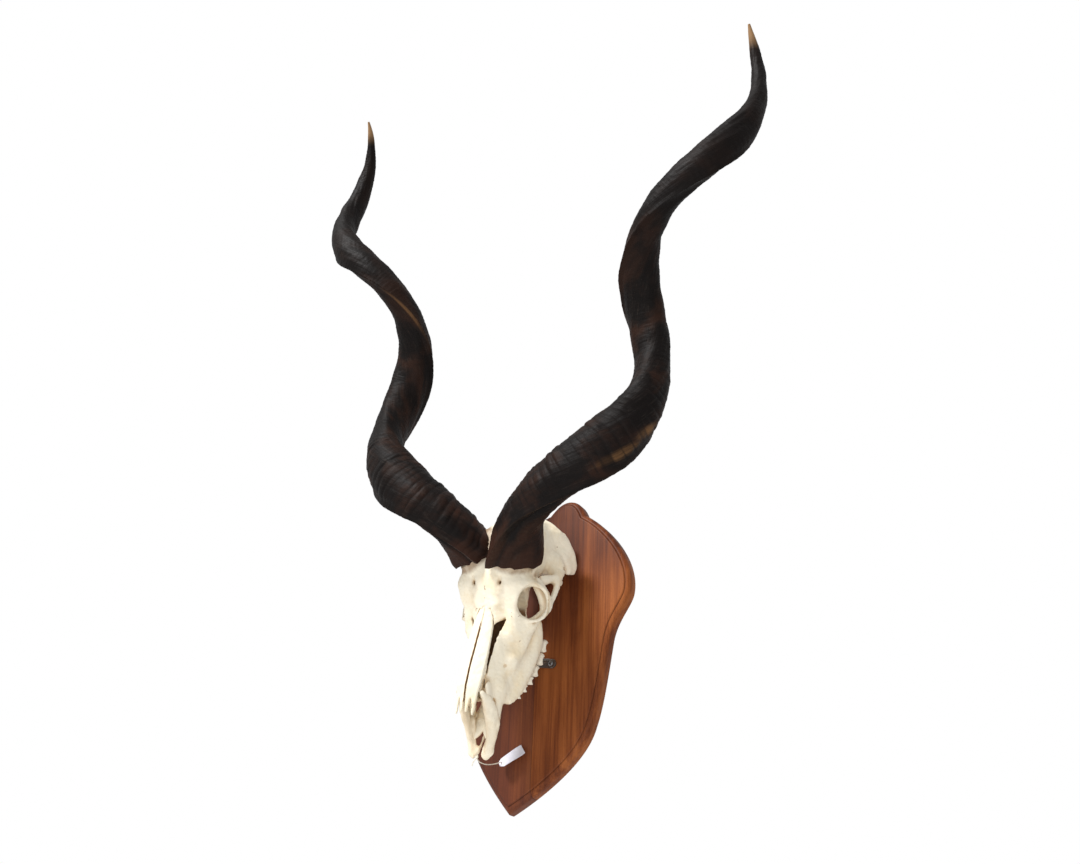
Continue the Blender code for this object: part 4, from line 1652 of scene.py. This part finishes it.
    def stains_and_shade(self, points: Array, form: HornForm) -> Array:
        """How brown each point is: round the horns' rims and along the sutures, with painted shade in the
        temporal hollows, in and below the brow foramina, and inside the nasal cavity.

        Args:
            points: Places, one a row.
            form: The horns' spiral.

        Returns:
            One value a row.
        """
        near = points.copy()
        near[:, 0] = np.abs(near[:, 0])
        path, _, _, _ = form.spiral(np.array((form.start,)))
        rim_distance = np.linalg.norm(near - path[0], axis=1)
        stain = 0.55 * ease(56, 42, rim_distance)
        # Painted shade in the temporal hollow.
        temple = np.linalg.norm((near - (50, -120, 130)) / (1, 1.4, 1.2), axis=1)
        stain = np.maximum(stain, 0.22 * ease(38, 10, temple))
        # Painted shade in the brow foramen and along the groove below it.
        x, y, z = self.foramen
        stain = np.maximum(stain, 0.9 * ease(9, 3, np.linalg.norm(near - (x, y + 5, z + 1), axis=1)))
        trail = np.linalg.norm((near - (x, y, z - 6)) / (1, 1, 1.8), axis=1)
        stain = np.maximum(stain, 0.3 * ease(20, 6, trail))
        wander = 1.5 * np.stack([ripple(points, 9, 70 + k) for k in range(3)], axis=1)
        for suture in self.sutures:
            line = Bar([(*place, 0.0) for place in suture], 4)
            stain = np.maximum(stain, 0.75 * ease(1.7, 0.5, line.distance(*(near + wander).T)))
        # Painted shade on the inner walls of the nasal cavity.
        core = Core(self.stations)
        inside = core.distance(*near.T)
        nose = ease(-2.0, -3.2, inside) * ease(-100, -50, near[:, 2]) * ease(40, 25, near[:, 2])
        return np.maximum(stain, 0.8 * nose)

    def build(self, finish: bpy.types.Material, form: HornForm, nasals: "Nasals", teeth: "Teeth") -> None:
        """Models the skull in clay and dresses its skin.

        Args:
            finish: The finish to dress it in.
            form: The horns' spiral.
            nasals: The nasal bones.
            teeth: The teeth.
        """
        clay = Clay((0, -240, -190), (84, -36, 214), self.grain)
        self.face_shapes(clay)
        self.rear_shapes(clay)
        self.horn_seats(clay, form)
        self.socket_shapes(clay)
        self.openings(clay)
        self.bed(clay, nasals, teeth)
        points, quads = clay.skin()
        # Painted shade: how shut in each point is, for the finish to darken.
        hollow = clay.hollowness(points, quads, 9)
        normals = point_normals(points, quads)
        uneven = 0.35 * ripple(points, 26, 3) + 0.16 * ripple(points, 8, 4)
        stain = self.stains_and_shade(points, form)
        points = points + normals * uneven[:, None]
        values = {"hollow": hollow, "stain": stain}
        make_piece("skull_bone", points, quads, finish, "skull", values)


@dataclass
class Nasals:
    """The two long nasal bones, each ending in two prongs."""

    outline: tuple[tuple[float, float], ...] = (
        (0.4, 17), (5, 15), (10.5, 8), (16.5, -6), (20.5, -28), (22.3, -55), (22.8, -85), (21.6, -112),
        (18.8, -134), (16.4, -158), (14.0, -158), (12.6, -141), (10.4, -135), (8.4, -141), (5.8, -155),
        (3.2, -155), (1.5, -134), (1.1, -100), (0.9, -60), (0.6, -10),
    )
    thickness: float = 4.2
    fall: float = 0.013
    front: tuple[tuple[float, float], ...] = (
        (17, -201.2), (12, -201.4), (4, -200.9), (-6, -200.9), (-30, -202.0), (-55, -203.4),
        (-88, -205.2), (-118, -204.6), (-155, -197.5),
    )

    def plate(self, grow: float = 0.0) -> Shape:
        """The right nasal as a curved plate, or the room for it.

        Args:
            grow: How far its surface is moved out.

        Returns:
            The shape.
        """
        nasals = self
        outline = smooth_outline(self.outline, 3)

        class Plate(Shape):
            """An outline wrapped on the bridge of the nose."""

            low = np.array((-1.0, -212.0, outline[:, 1].min() - grow))
            high = np.array((outline[:, 0].max() + grow, -192.0, outline[:, 1].max() + grow))

            def distance(self, x: Array, y: Array, z: Array) -> Array:
                """Signed distance.

                Args:
                    x: X of each place.
                    y: Y of each place.
                    z: Z of each place.

                Returns:
                    Distances, negative inside.
                """
                rows = np.array(nasals.front[::-1])
                top = np.interp(z, rows[:, 0], rows[:, 1]) + nasals.fall * x**2
                depth = np.abs(y - top - nasals.thickness / 2) - nasals.thickness / 2
                flat = outline_distance(outline, x, z)
                corner = np.hypot(np.maximum(depth + 1.2, 0), np.maximum(flat + 1.2, 0)) - 1.2
                return np.maximum(corner, np.maximum(depth, flat) - 1.2) - grow

        return Plate()

    def build(self, finish: bpy.types.Material) -> None:
        """Builds and dresses both nasals.

        Args:
            finish: The finish to dress it in.
        """
        plate = self.plate()
        clay = Clay(tuple(plate.low - 3), tuple(plate.high + 3), 1.0, mirrored=False)
        clay.add(plate)
        points, quads = clay.skin(1)
        normals = point_normals(points, quads)
        for side in Side:
            wavy = 0.22 * ripple(points, 11, 20 + side.value)
            placed = (points + normals * wavy[:, None]) * (side.value, 1, 1)
            faces = quads if side is Side.RIGHT else quads[:, ::-1]
            seam = ease(2.6, 1.2, np.abs(placed[:, 0])) * ease(-8, -22, placed[:, 2])
            values = {"hollow": seam, "stain": seam}
            node = f"nasal_{side.label}"
            make_piece(f"nasal_bone_{side.label}", placed, faces, finish, node, values)


def smooth_outline(outline: Sequence[Sequence[float]], steps: int) -> Array:
    """A closed outline rounded through its corners.

    Args:
        outline: Corners of the outline.
        steps: Points made for each stretch.

    Returns:
        The points of the smooth outline.
    """
    rows = [*outline[-2:], *outline, *outline[:2]]
    smooth = smooth_through(rows, steps)
    return smooth[2 * steps:-(2 * steps)][:len(outline) * steps]


@dataclass
class Premaxillae:
    """The two prongs at the end of the nose, with thin inner strips along the palate."""

    prong: tuple[tuple[float, ...], ...] = (
        (24, -191, -124, 4), (25.5, -177, -131, 8.5), (26, -160, -146, 12), (24, -146, -164, 10.5),
        (20.5, -136.5, -183, 8), (16.5, -131, -198, 7), (11.5, -128.5, -208, 5.5),
    )
    strip: tuple[tuple[float, ...], ...] = (
        (8, -129, -206, 3), (4.2, -126.5, -196, 2.4), (3, -124, -178, 1.9), (2.8, -121, -160, 1.8),
        (2.8, -119, -146, 1.6),
    )

    def build(self, finish: bpy.types.Material) -> None:
        """Builds and dresses both premaxillae.

        Args:
            finish: The finish to dress it in.
        """
        clay = Clay((0.4, -206, -218), (42, -108, -112), 1.1, mirrored=False)
        clay.add(Bar(self.prong, 4, (0.8, -0.6, 0.1), 0.4))
        clay.add(Bar(self.strip, 4, (1, 0, 0), 0.8), 3)
        clay.add(Blob((13.5, -129.5, -202), (10.5, 3.2, 10)), 4)
        clay.add(Bar(((22, -142, -160, 9), (18, -137, -175, 7), (15, -133, -190, 5)), 3, (0, 1, 0), 0.35), 4)
        points, quads = clay.skin(2)
        normals = point_normals(points, quads)
        # Painted shade: how shut in each point is, for the finish to darken.
        hollow = clay.hollowness(points, quads, 7)
        for side in Side:
            wavy = 0.3 * ripple(points, 12, 30 + side.value)
            placed = (points + normals * wavy[:, None]) * (side.value, 1, 1)
            faces = quads if side is Side.RIGHT else quads[:, ::-1]
            node = f"premaxilla_{side.label}"
            values = {"hollow": hollow, "stain": 0 * hollow}
            make_piece(f"{node}_bone", placed, faces, finish, node, values)


@dataclass
class Teeth:
    """Two rows of six cheek teeth, each with two lobes and sharp cusps round hollows."""

    count: int = 6
    sides: int = 48
    cusp: float = 7.0
    sink: float = 16.0

    def boxes(self, side: Side) -> list[tuple[Array, Array]]:
        """Corner places of each tooth's CAD solid, in millimetres.

        Args:
            side: Which side.

        Returns:
            Lowest and highest corner of each tooth.
        """
        found = []
        for number in range(1, self.count + 1):
            low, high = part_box(f"tooth_{side.label}_{number}")
            found.append((np.array(low) / MM, np.array(high) / MM))
        return found

    def sockets(self) -> list[tuple[Array, Array]]:
        """Room in the right jaw for each tooth.

        Returns:
            Lowest and highest corner of each room.
        """
        found = []
        for low, high in self.boxes(Side.RIGHT):
            found.append((np.array((low[0] + 2, high[1] - self.sink, low[2] + 1)), high - (2, 0, 1)))
        return found

    def crown(self, low: Array, high: Array, seed: int) -> Array:
        """Rings of one tooth, from its root to the middle of its biting face.

        Args:
            low: Lowest corner of the tooth's box.
            high: Highest corner of the tooth's box.
            seed: Chooses the chips.

        Returns:
            The rings of points.
        """
        middle, half = (low + high) / 2, (high - low) / 2
        edge, root = high[1], high[1] - self.sink + 0.5
        a = np.arange(self.sides) * 2 * pi / self.sides
        from_waist = np.degrees(np.abs(np.abs(a - pi) - pi / 2))
        lobes = 0.84 + 0.16 * np.abs(np.sin(a)) ** 0.5 - 0.10 * bell(from_waist, 14)
        u = np.sign(np.cos(a)) * np.abs(np.cos(a)) ** 0.8
        v = np.sign(np.sin(a)) * np.abs(np.sin(a)) ** 0.75
        peaks = np.abs(np.sin(2 * a)) ** 2.2
        chip = 0.35 * ripple(np.stack([np.cos(a), np.sin(a)], axis=1) * 3, 2.4, seed)
        rings = []
        levels = (
            (0.62, root, 0.0), (0.68, root + 4, 0.0), (0.84, edge - 9, 0.0), (1.0, edge - 5.5, 0.1),
            (0.99, edge - 2.2, 0.7), (0.9, edge, 1.0), (0.74, edge - 2.2, 0.7), (0.6, edge - 3.2, 0.5),
            (0.44, edge - 1.6, 0.8), (0.26, edge - 3, 0.4), (0.05, edge - 3.4, 0.2),
        )
        for scale, y, bite in levels:
            depth = y - bite * self.cusp * (1 - peaks) * 0.8 + bite * chip
            x, z = middle[0] + half[0] * scale * u * lobes, middle[2] + half[2] * scale * v
            rings.append(np.stack([x, depth, z], axis=1))
        return np.array(rings)

    def build(self, finish: EnamelFinish) -> None:
        """Builds and dresses all twelve teeth.

        Args:
            finish: The finish to dress it in.
        """
        material = finish.material()
        for side in Side:
            for number, (low, high) in enumerate(self.boxes(side), 1):
                rings = self.crown(low, high, 60 + number)
                points = rings.reshape(-1, 3)
                faces = facing_out(points, tube_faces(len(rings), self.sides))
                below = ease(-6, -14, points[:, 1] - high[1])
                inner = np.repeat(np.array((0, 0, 0, 0, 0, 0, 0.6, 0.9, 0.4, 0.9, 1.0)), self.sides)
                node = f"tooth_{side.label}_{number}"
                values = {"hollow": np.maximum(below * 0.6, inner)}
                make_piece(f"{node}_crown", points, faces, material, node, values, sharp=50)


# Shield


@dataclass
class Shield:
    """The board, with a moulded edge.

    Half its outline is Bezier stretches in X and Z: start, handle, handle, end.
    """

    stretches: tuple[tuple[tuple[float, float], ...], ...] = (
        ((0, 278), (18, 278), (29, 264), (38, 249.5)),
        ((38, 249.5), (84, 230), (155, 170), (155, 108)),
        ((155, 108), (155, 85), (131, 60), (131, 20)),
        ((131, 20), (131, -30), (133, -85), (126, -122)),
        ((126, -122), (120, -180), (46, -244), (0, -278)),
    )
    steps: int = 44
    cove: tuple[tuple[float, float], ...] = (
        (0, 0), (0, 2), (0, 12.5), (0.3, 14.6), (1.1, 16.8), (2.4, 18.8), (4.2, 20.4), (6.3, 21.4),
        (8.0, 21.8), (8.6, 21.6), (8.9, 21.6), (9.3, 22.6), (9.9, 23.4), (10.9, 23.9), (11.8, 24),
    )
    groove_at: float = 8.8

    def outline(self) -> Array:
        """Points right round the board, fitted to the frame's box.

        Returns:
            X and Z of each point.
        """
        half = []
        for corners in self.stretches:
            rows = np.array(corners, float)
            for t in np.arange(self.steps) / self.steps:
                half.append(np.array(((1 - t) ** 3, 3 * t * (1 - t) ** 2, 3 * t**2 * (1 - t), t**3)) @ rows)
        toe = np.array(self.stretches[-1][3], float)
        whole = np.array(half + [toe] + [point * (-1, 1) for point in half[:0:-1]])
        low, high = (np.array(corner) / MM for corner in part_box("shield"))
        fit = (high - low)[[0, 2]] / (whole.max(axis=0) - whole.min(axis=0))
        return (whole - whole.min(axis=0)) * fit + low[[0, 2]]

    def build(self, finish: WoodFinish) -> None:
        """Builds and dresses the board.

        Args:
            finish: The finish to dress it in.
        """
        outline = self.outline()
        edges = np.roll(outline, -1, axis=0) - outline
        edges /= np.linalg.norm(edges, axis=1)[:, None]
        inward = np.stack([edges[:, 1], -edges[:, 0]], axis=1)
        before = np.roll(inward, 1, axis=0)
        mitre = (inward + before) / (1 + (inward * before).sum(axis=1))[:, None]
        rings, groove = [], []
        middle = len(outline) // 2
        right = np.arange(len(outline)) <= middle
        for distance, height in self.cove:
            flat = outline + distance * mitre
            apex = flat[middle].copy()
            crossed = (flat[:, 1] < apex[1]) | (np.where(right, flat[:, 0], -flat[:, 0]) < 0)
            flat[crossed & (outline[:, 1] < 0)] = apex
            rings.append(np.stack([flat[:, 0], np.full(len(flat), -height), flat[:, 1]], axis=1))
            # Painted shade line along the moulding's groove, for the finish to darken.
            groove.append(np.full(len(flat), float(bell(distance - self.groove_at, 0.7))))
        points = np.array(rings).reshape(-1, 3)
        faces = facing_out(points, tube_faces(len(rings), len(outline)))
        values = {"groove": np.array(groove).ravel()}
        make_piece("shield_board", points, faces, finish.material(), "shield", values, sharp=40)


# Bracket, tag and string


@dataclass
class Bracket:
    """A round-ended steel plate with a threaded post up to the palate, and two slotted screws."""

    edge: float = 0.8
    end_steps: int = 20
    post_radius: float = 5.0
    thread_pitch: float = 1.5
    thread_depth: float = 0.5
    slot_width: float = 1.3
    screw_sides: int = 48

    def plate(self, material: bpy.types.Material) -> None:
        """The plate and its post in one piece.

        Args:
            material: The material to dress it in.
        """
        low, high = (np.array(corner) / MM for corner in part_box("bracket"))
        half_length, half_height = (high[0] - low[0]) / 2, (high[2] - low[2]) / 2
        centre_z = (high[2] + low[2]) / 2
        outline = []
        for end in (1, -1):
            for a in np.linspace(-pi / 2, pi / 2, self.end_steps) + (0 if end > 0 else pi):
                x = end * (half_length - half_height) + half_height * cos(a)
                outline.append((x, half_height * sin(a)))
        shape = np.array(outline)
        back, front = high[1], high[1] - 3.0
        rows: list[Array] = []
        steps = ((back, 0.0), (front + self.edge, 0.0), (front + 0.25 * self.edge, 0.3), (front, self.edge))
        for y, inset in steps:
            x, z = (shape * (1 - inset / half_height)).T
            rows.append(np.stack([x, np.full(len(shape), y), z + centre_z], axis=1))
        a = np.arctan2(shape[:, 1], shape[:, 0])
        turns = np.arange(0, front - low[1], self.thread_pitch / 4)
        for depth in turns:
            wave = self.thread_depth * 0.5 * (np.cos(2 * pi * depth / self.thread_pitch + a) - 1)
            radius = self.post_radius + (wave if depth > 6 else 0)
            x, z = radius * np.cos(a), radius * np.sin(a) + centre_z
            rows.append(np.stack([x, np.full(len(a), front - depth), z], axis=1))
        points = np.array(rows).reshape(-1, 3)
        faces = facing_out(points, tube_faces(len(rows), len(shape)))
        make_piece("bracket_plate", points, faces, material, "bracket", sharp=35)

    def screw(self, side: Side, material: bpy.types.Material) -> None:
        """A domed head with a slot across it.

        Args:
            side: Which side.
            material: The material to dress it in.
        """
        node = f"bracket_screw_{side.label}"
        low, high = (np.array(corner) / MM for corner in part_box(node))
        middle, radius = (low + high) / 2, (high[0] - low[0]) / 2
        height = high[1] - low[1]
        a = np.arange(self.screw_sides) * 2 * pi / self.screw_sides
        rings = []
        for turn in np.linspace(0, 0.5 * pi, 12)[:-1]:
            r, y = radius * cos(turn), high[1] - height * sin(turn)
            x, z = r * np.cos(a), r * np.sin(a)
            sunk = np.where((np.abs(z * 0.8 + x * 0.6) < self.slot_width / 2) & (turn > 0.7), 1.1, 0.0)
            depth = np.minimum(y + sunk, high[1] - 0.2)
            rings.append(np.stack([middle[0] + x, depth, middle[2] + z], axis=1))
        points = np.array(rings).reshape(-1, 3)
        faces = facing_out(points, tube_faces(len(rings), self.screw_sides))
        make_piece(f"{node}_head", points, faces, material, node, sharp=40)

    def build(self, finish: SteelFinish) -> None:
        """Builds and dresses the plate and both screws.

        Args:
            finish: The finish to dress it in.
        """
        material = finish.material()
        self.plate(material)
        for side in Side:
            self.screw(side, material)


@dataclass
class Tag:
    """A blank card tag with clipped corners, a little curled, on its string."""

    centre: Point = (-4, -37, -190)
    half_width: float = 12.5
    half_height: float = 23
    thickness: float = 0.6
    corner: float = 6
    lean: float = 30
    turn: float = -10
    roll: float = 38
    hole: tuple[float, float, float] = (0, -18.5, 1.3)
    curl: float = 0.0035
    around: int = 72
    across: int = 7

    def outline(self) -> Array:
        """The card's corners in its own plane."""
        w, h, c = self.half_width, self.half_height, self.corner
        return np.array(((c - w, -h), (w - c, -h), (w, c - h), (w, h), (-w, h), (-w, c - h)))

    def rim(self, angle: float) -> float:
        """Distance from the hole to the card's edge in one direction.

        Args:
            angle: The direction, in radians.

        Returns:
            The distance, in millimetres.
        """
        x, z, _ = self.hole
        way, found = np.array((cos(angle), sin(angle))), 1e9
        corners = self.outline()
        for start, end in zip(corners, np.roll(corners, -1, axis=0)):
            edge = end - start
            cross = way[0] * edge[1] - way[1] * edge[0]
            if abs(cross) < 1e-9:
                continue
            gap = start - (x, z)
            reach = (gap[0] * edge[1] - gap[1] * edge[0]) / cross
            share = (gap[0] * way[1] - gap[1] * way[0]) / cross
            if reach > 0 and 0 <= share <= 1:
                found = min(found, reach)
        return found

    def build(self, finish: CardFinish) -> bpy.types.Object:
        """Builds and dresses the card.

        Args:
            finish: The finish to dress it in.

        Returns:
            The card.
        """
        x, z, radius = self.hole
        rows = []
        loops = [(share, -self.thickness / 2) for share in np.linspace(0, 1, self.across)]
        loops += [(share, self.thickness / 2) for share in np.linspace(1, 0, self.across)]
        for share, y in loops:
            ring = []
            for a in np.arange(self.around) * 2 * pi / self.around:
                reach = radius + share * (self.rim(a) - radius)
                px, pz = x + reach * cos(a), z + reach * sin(a)
                ring.append((px, y + self.curl * (px + 0.5 * pz) ** 2 - 0.4, pz))
            rows.append(ring)
        points = np.array(rows + rows[:1]).reshape(-1, 3)
        place = Matrix.Translation(self.centre)
        place @= Matrix.Rotation(radians(self.turn), 4, "Z") @ Matrix.Rotation(radians(-self.lean), 4, "X")
        place @= Matrix.Rotation(radians(self.roll), 4, "Y")
        points = np.array([place @ Vector(point) for point in points])
        total = len(rows) * self.around
        joined = tube_faces(len(rows) + 1, self.around, caps=False)
        faces = [tuple(i % total for i in face) for face in joined]
        points = points[:total]
        return make_piece(
            "card_tag", points, facing_out(points, faces), finish.material(), "tag", sharp=30
        )


@dataclass
class TagString:
    """The string from the tip of the nose to the tag."""

    radius: float = 0.8
    knot_turns: int = 4
    knot_size: float = 1.7
    loose_end: tuple[Point, ...] = ((0.5, -138.5, -216), (-2, -139.5, -221), (-3, -139, -226.5))
    route: tuple[Point, ...] = (
        (0.5, -134.5, -209), (1, -136.5, -212), (1.2, -134, -215.5), (0, -124, -217.5), (-3, -108, -217),
        (-7, -90, -214.5), (-11, -72, -210.5), (-14.5, -56, -206), (-16.3, -48, -203), (-16.7, -43.4, -202),
    )

    def knot(self, material: bpy.types.Material) -> bpy.types.Object:
        """The knot on the nose with its short loose end, as one tube that winds and then hangs.

        Args:
            material: The material to dress it in.

        Returns:
            The knot.
        """
        turns = np.linspace(0, 2 * pi * self.knot_turns, 12 * self.knot_turns)
        middle, size = np.array(self.route[1], float), self.knot_size
        wound = size * np.stack([np.cos(turns), 0.6 * np.sin(turns), 0.5 * np.sin(2.3 * turns)], axis=1)
        path = np.vstack([middle + wound, smooth_through([middle + wound[-1], *self.loose_end], 6)[1:]])
        along = np.gradient(path, axis=0)
        along /= np.linalg.norm(along, axis=1)[:, None]
        side = np.cross(along, (0.31, 0.92, 0.2))
        side /= np.linalg.norm(side, axis=1)[:, None]
        other = np.cross(along, side)
        a = np.arange(10) * 2 * pi / 10
        rings = path[:, None, :] + self.radius * (
            np.cos(a)[None, :, None] * side[:, None, :] + np.sin(a)[None, :, None] * other[:, None, :]
        )
        points = rings.reshape(-1, 3)
        faces = facing_out(points, tube_faces(len(path), 10))
        return make_piece("string_knot", points, faces, material, "tag_string")

    def build(self, finish: StringFinish, tag: bpy.types.Object) -> None:
        """Args:
            finish: The finish to dress it in.
            tag: The card that it carries; not used.
        """
        material = finish.material()
        knot = self.knot(material)
        points = smooth_through(self.route, 3) * MM
        curve = bpy.data.curves.new("tie_string", "CURVE")
        curve.dimensions = "3D"
        curve.bevel_depth = self.radius * MM
        curve.bevel_resolution = 3
        curve.use_fill_caps = True
        spline = curve.splines.new("POLY")
        spline.points.add(len(points) - 1)
        for point, place in zip(spline.points, points):
            point.co = (*place, 1)
        item = bpy.data.objects.new("tie_string", curve)
        bpy.context.scene.collection.objects.link(item)
        curve.materials.append(material)
        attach(item, "root")
        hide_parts("tag_string")
        2 * self.radius * MM


# Studio


@dataclass
class Studio:
    """Camera below and to the right of the mount, a white surround and soft lights, in metres."""

    target: Point = (-0.1183, 0.0, 0.4437)
    azimuth: float = 36.8
    elevation: float = -25.0
    roll: float = 12.5
    distance: float = 1.996
    lens: float = 33.127
    floor_z: float = -1.6
    floor_size: float = 14.0
    surround: float = 0.62
    lights: tuple[tuple[Point, float, float], ...] = (
        ((-2.0, -4.3, 4.0), 1.6, 400.0),
        ((1.9, -2.6, -1.0), 1.6, 18.0),
    )

    def camera(self) -> None:
        """Places the camera and makes it the scene's own."""
        a, e, r = (radians(v) for v in (self.azimuth, self.elevation, self.roll))
        back = Vector((sin(a) * cos(e), -cos(a) * cos(e), sin(e)))
        level = (-back).cross(Vector((0, 0, 1))).normalized()
        upright = level.cross(-back)
        right = cos(r) * level + sin(r) * upright
        up = cos(r) * upright - sin(r) * level
        data = bpy.data.cameras.new("camera")
        data.lens = self.lens
        item = bpy.data.objects.new("camera", data)
        turn = Matrix((right, up, back)).transposed().to_4x4()
        item.matrix_world = Matrix.Translation(Vector(self.target) + back * self.distance) @ turn
        bpy.context.scene.collection.objects.link(item)
        bpy.context.scene.camera = item

    def light(self) -> None:
        """Adds the white surround and the area lights."""
        scene = bpy.context.scene
        scene.view_settings.view_transform = "Standard"
        surround = Surround("surround")
        scene.world = surround.world
        seen = surround.node("ShaderNodeLightPath", {}, {}, "Is Camera Ray")
        inputs = {"Value": seen, "To Min": self.surround, "To Max": 1.0}
        strength = surround.node("ShaderNodeMapRange", {}, inputs)
        surround.plug(surround.surface.inputs["Color"], (1.0, 1.0, 1.0))
        surround.plug(surround.surface.inputs["Strength"], strength)
        for i, (place, size, power) in enumerate(self.lights):
            data = bpy.data.lights.new(f"soft_{i}", "AREA")
            data.shape, data.size, data.energy = "DISK", size, power
            item = bpy.data.objects.new(data.name, data)
            item.location = place
            way = Vector(self.target) - Vector(place)
            item.rotation_euler = way.to_track_quat("-Z", "Y").to_euler()
            scene.collection.objects.link(item)

    def floor(self, finish: FloorFinish) -> None:
        """Lays the pale floor, well below the mount.

        Args:
            finish: The finish to dress it in.
        """
        half = self.floor_size / 2
        corners = [(-half, -half), (half, -half), (half, half), (-half, half)]
        data = bpy.data.meshes.new("floor")
        data.from_pydata([(x, y, self.floor_z) for x, y in corners], [], [(0, 1, 2, 3)])
        data.materials.append(finish.material())
        item = bpy.data.objects.new("floor", data)
        bpy.context.scene.collection.objects.link(item)

    def build(self) -> None:
        """Builds the whole studio."""
        self.camera()
        self.light()
        self.floor(FloorFinish())


def main() -> None:
    """Builds every piece in order."""
    logging.basicConfig(level=logging.INFO)
    Studio().build()
    tag = Tag().build(CardFinish())
    TagString().build(StringFinish(), tag)
    Shield().build(WoodFinish())
    Bracket().build(SteelFinish())
    horns = Horns()
    horns.build(HornFinish())
    bone = BoneFinish().material()
    nasals, teeth = Nasals(), Teeth()
    Skull().build(bone, horns.form, nasals, teeth)
    nasals.build(bone)
    Premaxillae().build(bone)
    teeth.build(EnamelFinish())


if __name__ == "__main__":
    main()
